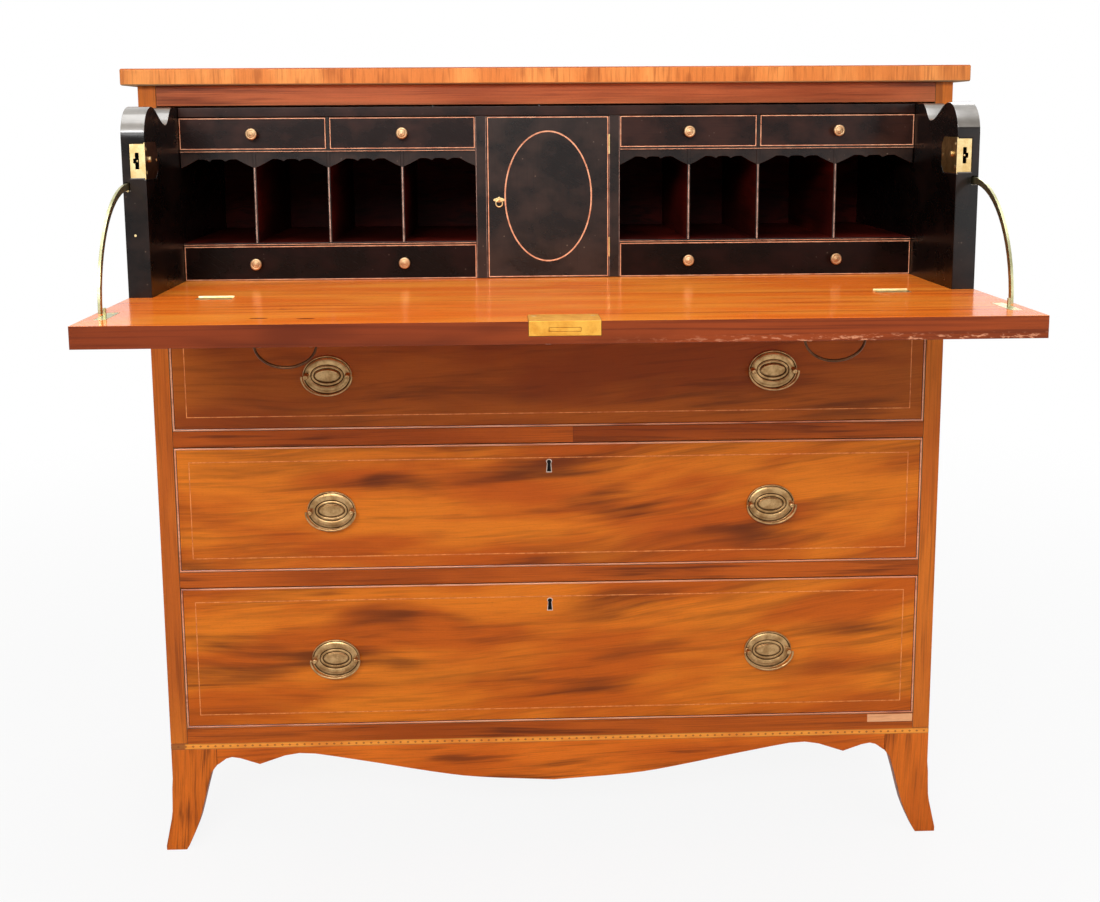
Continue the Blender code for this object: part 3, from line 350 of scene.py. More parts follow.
top_edge_face = crossbanding("top_edge_crossbanding", "x", 3.1)
top_end_face = crossbanding("top_end_crossbanding", "y", 3.6)
rail_face = {
    1: rail_veneer("rail_1_face", 5.4, (0.14, 0.009), (-0.085,), 0.22),
    2: rail_veneer("rail_2_face", 2.9, (0.16, 0.008), (0.030,), 0.16),
    3: rail_veneer("rail_3_face", 8.3, (0.18, 0.008)),
}
top_rail_face = veneer(
    "top_rail_face", (196, 106, 62), (166, 82, 44), (84, 34, 18),
    seed=6.3, band=(0.20, 0.008), bands=0.75, sway=0.002,
)
stile_face = veneer(
    "stile_face", (216, 116, 34), (190, 94, 26), (104, 46, 12),
    along="z", across="x", seed=8.8, band=(0.16, 0.008), bands=0.50, sway=0.002, gloss=0.32,
)
side_face = veneer(
    "side_face", (186, 92, 32), (154, 70, 22), (76, 32, 10),
    along="z", across="y", seed=1.9, band=(0.42, 0.030), bands=0.6, sway=0.02,
)
foot_front_face = veneer(
    "foot_front_face", (222, 112, 28), (192, 88, 18), (86, 36, 8),
    along="z", across="x", seed=2.7, band=(0.10, 0.009), bands=0.7, sway=0.004, rise=0.10,
)
foot_side_face = veneer(
    "foot_side_face", (196, 98, 34), (166, 78, 24), (84, 36, 10),
    along="z", across="y", seed=3.3, band=(0.10, 0.009), bands=0.7, sway=0.004, rise=0.10,
)
apron_face = veneer(
    "apron_face", (232, 118, 28), (204, 94, 18), (90, 38, 8),
    seed=6.9, band=(0.14, 0.011), bands=0.7, rise=0.08, sway=0.006, patch=(0.25, 0.2),
)
writing_face = veneer(
    "writing_face", (255, 150, 52), (247, 122, 36), (166, 64, 16),
    across="y", seed=5.9, band=(0.55, 0.010), bands=0.50, streaks=0.35, sway=0.003,
    gloss=0.04, coat=0.0, level=0.10,
)
# The cockbead's dark red, made darker still: partly the bead's own wood, partly painted shade of the gaps
# beside it.
bead_wood_and_shade = veneer(
    "cockbead", (84, 24, 14), (60, 16, 9), (26, 8, 5),
    seed=0.4, band=(0.10, 0.01), gloss=0.20, coat=0.3, level=0.3,
)
# Pale pink on the bead's forward-facing nose: a painted highlight along the rounded bead.
bead_painted_highlight = veneer(
    "cockbead_painted_highlight", (255, 188, 148), (238, 158, 118), (150, 66, 44),
    seed=1.4, band=(0.09, 0.02), gloss=0.18, coat=0.4, level=0.3,
)
hole_lining = veneer(
    "pigeonhole_lining", (84, 20, 12), (54, 12, 8), (22, 6, 5),
    along="y", across="z", seed=4.6, band=(0.12, 0.01), gloss=0.38, coat=0.0, level=0.06,
)
black_upright = ebonised("black_upright", (46, 32, 26), (18, 11, 9), worn=0.4)
black_front = ebonised(
    "black_front", (50, 27, 20), (24, 11, 8),
    along="x", across="z", worn=0.2, level=0.2,
)
black_lower = ebonised(
    "black_lower", (28, 11, 8), (13, 6, 4),
    along="x", across="z", worn=0.2, coat=0.05, level=0.1,
)
black_side = ebonised(
    "black_side", (34, 24, 20), (12, 8, 7),
    along="z", across="y", worn=0.3, level=0.2,
)
# A darker copy of the sides' black for their inward faces: painted shade inside the cabinet.
black_inner_painted_shade = ebonised(
    "black_inner_painted_shade", (20, 12, 10), (9, 6, 5),
    along="z", across="y", worn=0.2, coat=0.0, level=0.18,
)
# Pale grey over black polish on the sides' rounded tops: a painted reflection of the bright room, not the
# wood's colour.
black_round_painted_sheen = ebonised(
    "black_round_painted_sheen", (122, 116, 108), (88, 82, 74),
    along="x", across="y", gloss=0.26, coat=1.0, level=1.0,
)
lining = plain_wood("drawer_lining", (200, 160, 112), (172, 128, 84))
long_lining = plain_wood(
    "cross_grain_lining", (196, 156, 108), (168, 124, 80),
    along="x", across="z", seed=1.0,
)
boards = plain_wood(
    "back_boards", (176, 138, 94), (138, 100, 64),
    along="z", across="x", seed=2.0, rough=0.75,
)
dust_board = plain_wood(
    "dust_board", (176, 140, 98), (142, 106, 68),
    along="x", across="y", seed=3.0, rough=0.75,
)
orange_string = inlay_wood("orange_stringing", (236, 150, 78), (190, 96, 34))
copper_string = inlay_wood("copper_stringing", (236, 176, 138), (192, 126, 94))
pale_string = inlay_wood("pale_stringing", (190, 162, 146), (122, 96, 84))
grey_string = inlay_wood("grey_stringing", (150, 124, 112), (92, 66, 58))
# Near black for the walls inside keyholes and the catches' recesses: painted shade in the holes.
hole_painted_shade = ebonised("keyhole_black", (14, 9, 8), (8, 5, 5), gloss=0.6, coat=0.0)
patch_wood = veneer(
    "repair_patch", (244, 180, 130), (232, 160, 108), (176, 96, 50),
    seed=2.1, band=(0.03, 0.003), bands=0.4,
)


def worn_edge_wood():
    """The fall's free edge: red-brown long grain, its polish chipped along the lower arris on the right."""
    made = Finish("fall_edge")
    across, _, up = made.axes(made.place)
    grain = made.noise(made.grain((0.30, 0.05, 0.0045)), 3.0, 0.55, 0.4)
    broad = made.noise(made.grain((0.16, 0.1, 0.03), shift=(3, 1, 2)), 2.0)
    fine = made.noise(made.grain((0.03, 0.03, 0.0006)), 3.0, 0.6)
    chips = made.noise(made.grain((0.012, 0.012, 0.0035)), 4.0, 0.7)
    low = 1 - up.between(fall_low.z + 0.0035, fall_low.z + 0.009)
    worn = chips.between(0.54, 0.62) * low * across.between(0.0, 0.35)
    colour = made.mix(broad.between(0.35, 0.65), srgb(130, 54, 22), srgb(104, 40, 14))
    # Lighter towards the right: a painted gradient of light along the edge.
    colour = made.mix(across.between(-0.3, 0.5) * 0.40, colour, srgb(186, 84, 34))
    colour = made.mix(grain.between(0.48, 0.72) * 0.6, colour, srgb(78, 28, 12))
    colour = made.mix(fine.between(0.45, 0.8) * 0.25, colour, srgb(86, 34, 14))
    colour = made.mix(worn * 0.8, colour, srgb(222, 150, 112))
    roughness = 0.28 + chips * 0.15 + worn * 0.3
    return made.show(colour, roughness, fine + worn * -2.0, 0.00006, coat=0.06, level=0.15)


def banded_inlay(low_z, high_z):
    """The line of inlay over the plinth: a gold ground with small dark diamonds between dark borders."""
    made = Finish("plinth_band")
    across, _, up = made.axes(made.place)
    step = 0.0106
    along = (((across + 1.0) / step).part() - 0.5).size() * step
    rise = (up - (low_z + high_z) / 2).size()
    diamond = 1 - (along / 0.0021 + rise / 0.0018).between(0.86, 1.10)
    half = (high_z - low_z) / 2
    border = rise.between(half - 0.0014, half - 0.0009)
    fine = made.noise(made.grain((0.02, 0.02, 0.0012)), 3.0, 0.6)
    broad = made.noise(made.grain((0.07, 0.07, 0.05)), 2.0)
    end = 1 - across.between(-0.531, -0.527)
    colour = made.mix(fine.between(0.35, 0.7), srgb(248, 162, 60), srgb(234, 138, 42))
    colour = made.mix(broad.between(0.5, 0.7) * 0.5, colour, srgb(214, 114, 32))
    colour = made.mix(diamond * 0.7, colour, srgb(132, 62, 22))
    colour = made.mix(border * 0.5, colour, srgb(140, 66, 24))
    colour = made.mix(end * 0.8, colour, srgb(132, 68, 28))
    return made.show(colour, 0.32 + fine * 0.15, fine, 0.00003, coat=0.1, level=0.25)


# Metals

def brass(name, light, dark, patina, roughness=0.3, spots=0.5):
    """Lacquered brass: cloudy tone, small dark spots and fine wear."""
    light, dark, patina = srgb(*light), srgb(*dark), srgb(*patina)
    made = Finish(name)
    cloud = made.noise(made.grain((0.012, 0.012, 0.012)), 4.0, 0.6)
    speck = made.noise(made.grain((0.0018, 0.0018, 0.0018)), 3.0, 0.7)
    colour = made.mix(cloud.between(0.35, 0.68), light, dark)
    colour = made.mix(speck.between(0.55, 0.72) * spots, colour, patina)
    return made.show(colour, roughness + cloud * 0.12 + speck * 0.08, speck, 0.00002, metallic=1.0)


aged_brass = brass("aged_brass", (204, 166, 116), (160, 122, 78), (84, 58, 36), 0.26)
# Dark brass for the pull plates' sunk rings: painted shade in the grooves, the outer groove also standing for
# the bail's shadow.
sunk_brass_painted_shade = brass("sunk_brass_painted_shade", (96, 70, 42), (62, 42, 24), (34, 22, 12), 0.4)
stay_brass = brass("stay_brass", (202, 200, 158), (176, 174, 130), (110, 104, 66), 0.26, 0.2)
gold_brass = brass("gold_brass", (236, 178, 78), (216, 150, 58), (150, 98, 34), 0.42, 0.3)
pale_brass = brass("pale_brass", (240, 214, 158), (218, 184, 122), (130, 98, 56), 0.28, 0.3)
knob_brass = brass("knob_brass", (214, 180, 138), (176, 140, 102), (84, 58, 38), 0.42, 0.4)
# Dark bronze; on the fall's bails it is painted shade.
dark_bronze = brass("dark_bronze", (112, 78, 54), (78, 52, 36), (40, 26, 18), 0.30)
steel = brass("steel", (186, 180, 172), (150, 144, 136), (84, 72, 62), 0.3)
lip_metal = brass("keyhole_lip_brass", (226, 208, 192), (196, 176, 160), (130, 106, 90), 0.35, 0.3)


# Shapes

seen_from_front = Matrix.Rotation(math.pi / 2, 4, "X")
seen_from_below = Matrix.Rotation(math.pi, 4, "X")
seen_from_above = Matrix()

string_proud = 0.00008
string_root = 0.0003
hard_angle = math.radians(30)
millimetres = 1000


def at(place, turn=seen_from_above):
    return Matrix.Translation(place) @ turn


def pattern(shape, name):
    """A small mesh that is stamped many times. It lies on the plane Z = 0 and stands up towards +Z."""
    bmesh.ops.remove_doubles(shape, verts=shape.verts, dist=0.000001)
    bmesh.ops.recalc_face_normals(shape, faces=shape.faces)
    mesh = bpy.data.meshes.new(name)
    shape.to_mesh(mesh)
    shape.free()
    return mesh


def stamp(shape, mesh, place):
    """Adds a copy of a small mesh at a place."""
    first = len(shape.verts)
    shape.from_mesh(mesh)
    shape.verts.ensure_lookup_table()
    bmesh.ops.transform(shape, matrix=place, verts=shape.verts[first:])


def only(kind, geometry):
    return [part for part in geometry if isinstance(part, kind)]


def new_verts(made):
    return only(bmesh.types.BMVert, made["geom"])


def raised(shape, faces, height):
    """Makes flat faces into a closed plate of this height along +Z, or along a vector."""
    edges = {edge for face in faces for edge in face.edges}
    verts = {vert for face in faces for vert in face.verts}
    made = bmesh.ops.extrude_face_region(shape, geom=[*faces, *edges, *verts], use_keep_orig=True)
    away = height if isinstance(height, Vector) else Vector((0, 0, height))
    bmesh.ops.translate(shape, vec=away, verts=new_verts(made))


def line_frame(low, high, line):
    """A rectangle of stringing, with its lowest and highest corner as X and Y."""
    shape = bmesh.new()
    made = bmesh.ops.create_grid(shape, x_segments=1, y_segments=1, size=0.5)["verts"]
    middle = ((low[0] + high[0]) / 2, (low[1] + high[1]) / 2, -string_root)
    bmesh.ops.scale(shape, vec=(high[0] - low[0], high[1] - low[1], 1), verts=made)
    bmesh.ops.translate(shape, vec=middle, verts=made)
    inner = shape.faces[:]
    bmesh.ops.inset_individual(shape, faces=inner, thickness=line, use_even_offset=True)
    bmesh.ops.delete(shape, geom=inner, context="FACES_ONLY")
    raised(shape, shape.faces[:], string_root + string_proud)
    return pattern(shape, "line_frame")


def strip(low, high, proud=string_proud, deep=string_root, ease=0.0):
    """A straight flat strip between two corners as X and Y."""
    shape = bmesh.new()
    made = bmesh.ops.create_cube(shape, size=1)["verts"]
    middle = ((low[0] + high[0]) / 2, (low[1] + high[1]) / 2, (proud - deep) / 2)
    bmesh.ops.scale(shape, vec=(high[0] - low[0], high[1] - low[1], proud + deep), verts=made)
    bmesh.ops.translate(shape, vec=middle, verts=made)
    if ease:
        ease_edges(shape, ease)
    return pattern(shape, "strip")


def oval_face(shape, half_x, half_y, around):
    """The corners of one flat oval face."""
    made = bmesh.ops.create_circle(shape, cap_ends=True, segments=around, radius=1)["verts"]
    bmesh.ops.scale(shape, vec=(half_x, half_y, 1), verts=made)
    return made


def oval_ring(half_x, half_y, line):
    """An oval line of stringing."""
    shape = bmesh.new()
    made = bmesh.ops.create_circle(shape, segments=96, radius=1)["verts"]
    bmesh.ops.scale(shape, vec=(half_x, half_y, 1), verts=made)
    bmesh.ops.translate(shape, vec=(0, 0, -string_root), verts=made)
    grown = bmesh.ops.extrude_edge_only(shape, edges=shape.edges[:])
    inner = ((half_x - line) / half_x, (half_y - line) / half_y, 1)
    bmesh.ops.scale(shape, vec=inner, verts=new_verts(grown))
    raised(shape, shape.faces[:], string_root + string_proud)
    return pattern(shape, "oval_ring")


def turned(profile, steps):
    """A shape turned about Z from radii and heights in millimetres that start and end on the axis."""
    shape = bmesh.new()
    points = [shape.verts.new((radius / millimetres, 0, height / millimetres)) for radius, height in profile]
    lines = [shape.edges.new(pair) for pair in zip(points, points[1:])]
    bmesh.ops.spin(
        shape, geom=[*points, *lines], cent=(0, 0, 0), axis=(0, 0, 1), dvec=(0, 0, 0),
        angle=2 * math.pi, steps=steps, use_merge=True,
    )
    bmesh.ops.remove_doubles(shape, verts=shape.verts, dist=0.000001)
    return pattern(shape, "turned")


def wire(points, radius, shares, closed=False):
    """A round wire along points, thicker or thinner by each point's share."""
    line = bpy.data.curves.new("wire", "CURVE")
    line.dimensions = "3D"
    line.bevel_depth = radius
    line.bevel_resolution = 3
    line.use_fill_caps = not closed
    run = line.splines.new("POLY")
    run.points.add(len(points) - 1)
    run.use_cyclic_u = closed
    for point, place, share in zip(run.points, points, shares):
        point.co = (*place, 1)
        point.radius = share
    made = bpy.data.objects.new("wire", line)
    shape = bmesh.new()
    shape.from_mesh(bpy.data.meshes.new_from_object(made))
    bpy.data.objects.remove(made)
    bpy.data.curves.remove(line)
    return pattern(shape, "wire")


def hard_edges(shape):
    return [edge for edge in shape.edges if edge.calc_face_angle(0.0) > hard_angle]


def ease_edges(shape, width, segments=2):
    round_edges(shape, hard_edges(shape), width, segments)


def round_edges(shape, edges, width, segments):
    bmesh.ops.bevel(
        shape, geom=edges, offset=width, offset_type="OFFSET", segments=segments,
        profile=0.5, affect="EDGES", clamp_overlap=True, material=-1,
    )


def merged_copy(node):
    """A bmesh of a CAD node with its doubles merged and its flat faces whole."""
    shape = bmesh.new()
    shape.from_mesh(frame["nodes"][node].data)
    bmesh.ops.remove_doubles(shape, verts=shape.verts, dist=0.000002)
    bmesh.ops.dissolve_limit(shape, angle_limit=math.radians(0.6), verts=shape.verts, edges=shape.edges)
    return shape


def body_of(node):
    for name, nodes in frame["record"]["behaviour"]["bodies"].items():
        if node in nodes:
            return name
    return "root"


def slot_of(node):
    for part in frame["record"]["subparts"]:
        if part["node"] == node:
            return part["material_slot"]
    return None


def middle_of(node):
    low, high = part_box(node)
    return (low + high) / 2


def made_piece(name, shape, body, slot, finishes, pick=None, sharp=50, replaces=()):
    """The finished piece of a bmesh. Pick chooses each face's finish by its middle and its normal."""
    mesh = bpy.data.meshes.new(name)
    shape.normal_update()
    for face in shape.faces:
        if pick:
            face.material_index = pick(face.calc_center_median(), face.normal)
        face.smooth = True
    shape.to_mesh(mesh)
    shape.free()
    for finish in finishes:
        mesh.materials.append(finish)
    mesh.set_sharp_from_angle(angle=math.radians(sharp))
    made = bpy.data.objects.new(name, mesh)
    bpy.context.scene.collection.objects.link(made)
    normals = made.modifiers.new("weighted_normals", "WEIGHTED_NORMAL")
    normals.keep_sharp = True
    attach(made, body)
    if replaces:
        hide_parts(*replaces)


def stamped_piece(name, stamps, body, slot, finishes, replaces=(), sharp=50):
    """One piece made of small meshes at their places."""
    shape = bmesh.new()
    for mesh, place in stamps:
        stamp(shape, mesh, place)
    made_piece(name, shape, body, slot, finishes, sharp=sharp, replaces=replaces)


def inlaid(name, stamps, node, finish):
    """Stringing or inlay let into a node, which it rides with."""
    stamped_piece(name, stamps, body_of(node), "rail_veneer", [finish])


def eased(node, width, finishes, pick=None, segments=2, sharp=50, bead=None):
    """A CAD node with rounded edges, which stands for it. Where bead holds, they round into a nose."""
    shape = merged_copy(node)
    if bead:
        noses = [edge for edge in hard_edges(shape) if all(bead(vert.co) for vert in edge.verts)]
        round_edges(shape, noses, bead_nose_radius, 4)
    ease_edges(shape, width, segments)
    made_piece(
        f"{node}_finished", shape, body_of(node), slot_of(node), finishes, pick, sharp=sharp, replaces=(node,)
    )


# Levels read from the solids

front_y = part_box("top_rail")[0].y
fall_low, fall_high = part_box("fall_front")
interior_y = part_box("cupboard_door")[0].y
side_low, side_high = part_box("secretaire_side_left")
inner_half = -side_high.x
board_top = fall_high.z
bead_rise = 0.00175
bead_width = 0.003
bead_reach = bead_width + 0.0002
bead_nose_radius = 0.0013
trim_proud = 0.0001
on_front = at((0, front_y, 0), seen_from_front)
on_drawer_faces = at((0, front_y + bead_rise, 0), seen_from_front)
on_interior = at((0, interior_y, 0), seen_from_front)
sides = (("left", -1), ("right", 1))


# Small shapes used again and again

def half_moon_screw(radius, slot):
    """A countersunk screw head with its slot, as two half moons over a sunk floor."""
    around, head_height, head_ease = 20, 0.0005, 0.00012
    floor_share, floor_low, floor_height = 0.98, -0.0003, 0.0004
    shape = bmesh.new()
    bmesh.ops.create_circle(shape, cap_ends=True, segments=around, radius=radius)
    geometry = [*shape.verts, *shape.edges, *shape.faces]
    bmesh.ops.bisect_plane(
        shape, geom=geometry, plane_co=(0, slot / 2, 0), plane_no=(0, -1, 0), clear_outer=True
    )
    raised(shape, shape.faces[:], head_height)
    ease_edges(shape, head_ease, 1)
    half = pattern(shape, "half_moon")
    shape = bmesh.new()
    stamp(shape, half, Matrix())
    stamp(shape, half, Matrix.Rotation(math.pi, 4, "Z"))
    reach = radius * floor_share
    disc = bmesh.ops.create_circle(shape, cap_ends=True, segments=around, radius=reach)["verts"]
    bmesh.ops.translate(shape, vec=(0, 0, floor_low), verts=disc)
    raised(shape, disc[0].link_faces[:], floor_height)
    return pattern(shape, "screw")


brass_screw = half_moon_screw(0.0030, 0.0007)
small_screw = half_moon_screw(0.0021, 0.0005)
screw_sunk = Matrix.Translation((0, 0, -0.0003))


def screws(name, screw, places, node, first, step, turn=seen_from_above, slot="aged_brass"):
    """Screw heads that ride with a node, each turned about its own axis a step further than the last."""
    stamps = []
    for number, place in enumerate(places):
        slot_turn = Matrix.Rotation(first + step * number, 4, "Z")
        stamps.append((screw, at(place, turn) @ slot_turn @ screw_sunk))
    stamped_piece(name, stamps, body_of(node), slot, [pale_brass, sunk_brass_painted_shade])


# Carcase

def top_pick(middle, normal):
    if normal.z > 0.5:
        return 0
    if normal.z < -0.5:
        return 3
    return 1 if abs(normal.y) > abs(normal.x) else 2


def side_pick(middle, normal):
    if normal.y < -0.5:
        return 1
    return 0 if normal.x * middle.x > 0 else 2


def front_pick(middle, normal):
    return 0 if middle.y < front_y + 0.01 else 1


def bottom_pick(middle, normal):
    if abs(normal.x) > 0.7:
        return 1
    return front_pick(middle, normal) * 2


def foot_pick(middle, normal):
    return 1 if abs(normal.x) > abs(normal.y) else 0


eased("carcase_top", 0.0006, [top_face, top_edge_face, top_end_face, dust_board], top_pick)
for side, _ in sides:
    eased(f"carcase_side_{side}", 0.0007, [side_face, stile_face, dust_board], side_pick)
eased("top_rail", 0.0006, [top_rail_face, dust_board], front_pick)
for number in (1, 2, 3):
    eased(f"rail_above_drawer_{number}", 0.0005, [rail_face[number], dust_board], front_pick)
eased("carcase_bottom", 0.0004, [rail_face[3], side_face, dust_board], bottom_pick)
eased("apron", 0.0006, [apron_face])
for end in ("front", "back"):
    for side, _ in sides:
        eased(f"foot_{end}_{side}", 0.0007, [foot_front_face, foot_side_face], foot_pick)

back_low, back_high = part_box("carcase_back")
board_count, board_gap, board_ease = 6, 0.0004, 0.0012
board_width = (back_high.x - back_low.x) / board_count
shape = bmesh.new()
for number in range(board_count):
    low = (back_low.x + number * board_width + board_gap, back_low.z)
    high = (back_low.x + (number + 1) * board_width - board_gap, back_high.z)
    board = strip(low, high, back_high.y - back_low.y, 0.0, board_ease)
    stamp(shape, board, at((0, back_high.y, 0), seen_from_front))
made_piece("back_boards", shape, "root", "back_wood", [boards], replaces=("carcase_back",))

patch_left, patch_right, patch_width, patch_drop = 0.458, 0.524, 0.0115, 0.0012
patch_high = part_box("drawer_3")[0].z - patch_drop
patch = strip((patch_left, patch_high - patch_width), (patch_right, patch_high), trim_proud)
inlaid("rail_repair_patch", [(patch, on_front)], "carcase_bottom", patch_wood)
band_width, band_end_gap = 0.0085, 0.0006
band_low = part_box("apron")[1].z
band_high = band_low + band_width
band_reach = -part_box("carcase_side_left")[0].x - band_end_gap
band = strip((-band_reach, band_low), (band_reach, band_high), trim_proud)
inlaid("plinth_inlay_band", [(band, on_front)], "apron", banded_inlay(band_low, band_high))


# Pulls: an oval plate with fluted rings, two posts and a bail

smooth, sunk, fluted = 0, 1, 2
# Each ring's share of the way out from the raised oval to the rim, its height in millimetres, and its kind
plate_rings = (
    (1.0, 0.9, smooth), (0.985, 1.9, smooth), (0.95, 2.4, smooth), (0.91, 2.1, smooth), (0.88, 1.2, sunk),
    (0.83, 1.1, sunk), (0.80, 1.7, smooth), (0.74, 2.3, fluted), (0.64, 2.7, fluted), (0.48, 2.5, fluted),
    (0.38, 1.9, fluted), (0.34, 1.3, sunk), (0.29, 1.2, sunk), (0.26, 1.6, smooth), (0.20, 1.8, smooth),
    (0.14, 1.6, smooth), (0.10, 1.0, sunk), (0.05, 0.9, sunk), (0.02, 1.5, smooth), (0.0, 2.3, smooth),
    (-0.04, 2.6, smooth), (-0.10, 2.65, smooth), (-0.18, 2.45, smooth), (-0.35, 2.5, smooth),
    (-0.70, 2.55, smooth), (-0.95, 2.55, smooth),
)


def plate_pattern():
    """The oval plate of a pull, drawn in ring by ring from its rim to the middle of its raised oval."""
    around, flute_depth = 120, 0.00025
    outer = Vector((0.034, 0.028))
    raised_oval = Vector((0.0168, 0.0080))
    shape = bmesh.new()
    oval_face(shape, outer.x, outer.y, around)
    edges = shape.edges[:]
    size = outer
    for share, height, kind in plate_rings:
        grown = bmesh.ops.extrude_edge_only(shape, edges=edges)
        verts = new_verts(grown)
        edges = [edge for edge in only(bmesh.types.BMEdge, grown["geom"]) if edge.is_boundary]
        target = raised_oval * (1 + share) if share < 0 else raised_oval + (outer - raised_oval) * share
        bmesh.ops.scale(shape, vec=(target.x / size.x, target.y / size.y, 1), verts=verts)
        size = target
        for vert in verts:
            number = round(math.atan2(vert.co.y / size.y, vert.co.x / size.x) / (2 * math.pi) * around)
            flute = flute_depth * (number % 2) if kind == fluted else 0.0
            vert.co.z = height / millimetres - flute
            # Sunk rings take the dark brass of painted shade.
            for face in vert.link_faces:
                face.material_index = 1 if kind == sunk else 0
    bmesh.ops.contextual_create(shape, geom=edges)
    return pattern(shape, "pull_plate")


plate = plate_pattern()
post_x = 0.0286
pivot_stand = 0.0105
post = turned(
    (
        (0, 0.2), (4.4, 0.2), (4.4, 2.4), (3.7, 3.2), (2.5, 3.6), (2.3, 6.2), (3.1, 6.9), (3.9, 8.2),
        (4.1, 10.2), (3.9, 11.8), (3.1, 13.1), (2.1, 13.6), (1.5, 13.3), (0, 13.0),
    ),
    24,
)
bail_radius, bail_half_width, bail_drop, bail_steps = 0.0015, 0.0345, 0.026, 48
bail_ends = (0.0328, 0.0332)
end_shares = [0.72, 0.72]
bail_points = [(x, 0, 0) for x in bail_ends]
bail_shares = end_shares[:]
for step in range(bail_steps + 1):
    angle = math.pi * step / bail_steps
    bail_points.append((bail_half_width * math.cos(angle), 0, -bail_drop * math.sin(angle)))
    bail_shares.append(0.95 + 0.25 * math.sin(angle) ** 2)
bail_points += [(-x, 0, 0) for x in reversed(bail_ends)]
bail_shares += end_shares
bail = wire(bail_points, bail_radius, bail_shares)


def pull(name, turn):
    """A pull in the place of its CAD plate and bail."""
    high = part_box(f"{name}_plate")[1]
    back = middle_of(f"{name}_plate")
    below = turn == seen_from_below
    if below:
        back.z = high.z
    else:
        back.y = high.y
    place = at(back, turn)
    posts = [(post, place @ Matrix.Translation((way * post_x, 0, 0))) for _, way in sides]
    stamped_piece(
        f"{name}_pull_plate", [(plate, place), *posts], body_of(f"{name}_plate"), "aged_brass",
        [aged_brass, sunk_brass_painted_shade], replaces=(f"{name}_plate",), sharp=75,
    )
    pivot = place @ Vector((0, 0, pivot_stand))
    # The fall's bails hang in its shadow and take dark bronze: painted shade on the same brass as the drawers'
    # bails.
    stamped_piece(
        f"{name}_pull_bail", [(bail, at(pivot))], body_of(f"{name}_bail"), "aged_brass",
        [dark_bronze if below else aged_brass], replaces=(f"{name}_bail",), sharp=75,
    )


for number in (1, 2, 3):
    for side, _ in sides:
        pull(f"drawer_{number}_{side}", seen_from_front)
for side, _ in sides:
    pull(f"fall_{side}", seen_from_below)


# Long drawers

key_x, key_drop, key_reach = -0.004, 0.0327, 0.0105
key_half_width, key_half_height = 0.02, 0.014
key_lip_rise, flat_within = 0.0002, 0.00002
string_side, string_low, string_high, string_line = 0.019, 0.0185, 0.0205, 0.0012
drawer_front_thick = 0.021


def keyhole_lip(node, axis, middle):
    """A thin brass lip round a keyhole, grown from the keyhole's own edge and out along an axis."""
    outwards = Vector((0, 0, 0))
    outwards[axis] = -key_lip_rise
    shape = merged_copy(node)
    rim = []
    for edge in hard_edges(shape):
        flat = all(abs(vert.co[axis] - middle[axis]) < flat_within for vert in edge.verts)
        near = all((vert.co - middle).length < key_reach for vert in edge.verts)
        if flat and near:
            rim.append(edge)
    corners = {vert for edge in rim for vert in edge.verts}
    kept = set(new_verts(bmesh.ops.duplicate(shape, geom=[*rim, *corners])))
    bmesh.ops.delete(shape, geom=[vert for vert in shape.verts if vert not in kept], context="VERTS")
    grown = new_verts(bmesh.ops.extrude_edge_only(shape, edges=shape.edges[:]))
    growth = [1.38, 1.14, 1.14]  # the keyhole is narrow, so its rim grows most across
    growth[axis] = 1.0
    bmesh.ops.scale(shape, vec=growth, space=Matrix.Translation(-middle), verts=grown)
    raised(shape, shape.faces[:], outwards)
    bmesh.ops.recalc_face_normals(shape, faces=shape.faces)
    made_piece(f"{node}_keyhole_lip", shape, body_of(node), "aged_brass", [lip_metal])


for number in (1, 2, 3):
    node = f"drawer_{number}"
    low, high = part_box(node)

    def drawer_pick(middle, normal, low=low, high=high):
        if middle.y > front_y + drawer_front_thick:
            return 2 if abs(normal.x) > 0.5 else 3
        at_keyhole = abs(middle.x) < key_half_width and abs(middle.z - high.z + key_drop) < key_half_height
        # Faces inside the keyhole take the painted shade.
        if middle.y > front_y + bead_rise + 0.0002 and at_keyhole:
            return 4
        if middle.y > front_y + bead_rise + 0.003:
            return 0
        edge = min(middle.x - low.x, high.x - middle.x, middle.z - low.z, high.z - middle.z)
        if edge > bead_reach:
            return 0
        # The bead's nose takes the painted highlight; its other faces take the dark bead wood with painted
        # shade.
        return 5 if normal.y < -0.80 else 1

    eased(
        node, 0.0005, [drawer_face[number], bead_wood_and_shade, lining, long_lining, hole_painted_shade, bead_painted_highlight],
        drawer_pick, bead=lambda place: place.y < front_y + 0.0003,
    )
    frame_line = line_frame(
        (low.x + string_side, low.z + string_low), (high.x - string_side, high.z - string_high), string_line
    )
    inlaid(f"{node}_stringing", [(frame_line, on_drawer_faces)], node, orange_string)
    keyhole_lip(node, 1, Vector((key_x, front_y + bead_rise, high.z - key_drop)))


# Secretaire drawer

eased("writing_board", 0.0003, [writing_face])


def side_wall_pick(middle, normal):
    # Inward faces take the darker painted shade; the rounded top's upward, forward faces take the grey painted
    # reflection.
    if normal.x * middle.x < 0 and abs(normal.x) > 0.7:
        return 2
    return 1 if normal.z > 0.12 and abs(normal.x) < 0.5 and normal.y < -0.1 else 0


for side, _ in sides:
    eased(f"secretaire_side_{side}", 0.0009, [black_side, black_round_painted_sheen, black_inner_painted_shade], side_wall_pick, sharp=40)
eased("secretaire_back", 0.0006, [hole_lining, lining], lambda middle, normal: 0 if normal.y < -0.5 else 1)
eased("interior_top", 0.0006, [black_front])


def hole_pick(middle, normal):
    return 1 if middle.y > interior_y + 0.006 and abs(normal.y) < 0.5 else 0


for name in ("pigeonholes_left", "pigeonholes_right"):
    eased(name, 0.0003, [black_upright, hole_lining], hole_pick, 1)


# Small drawers

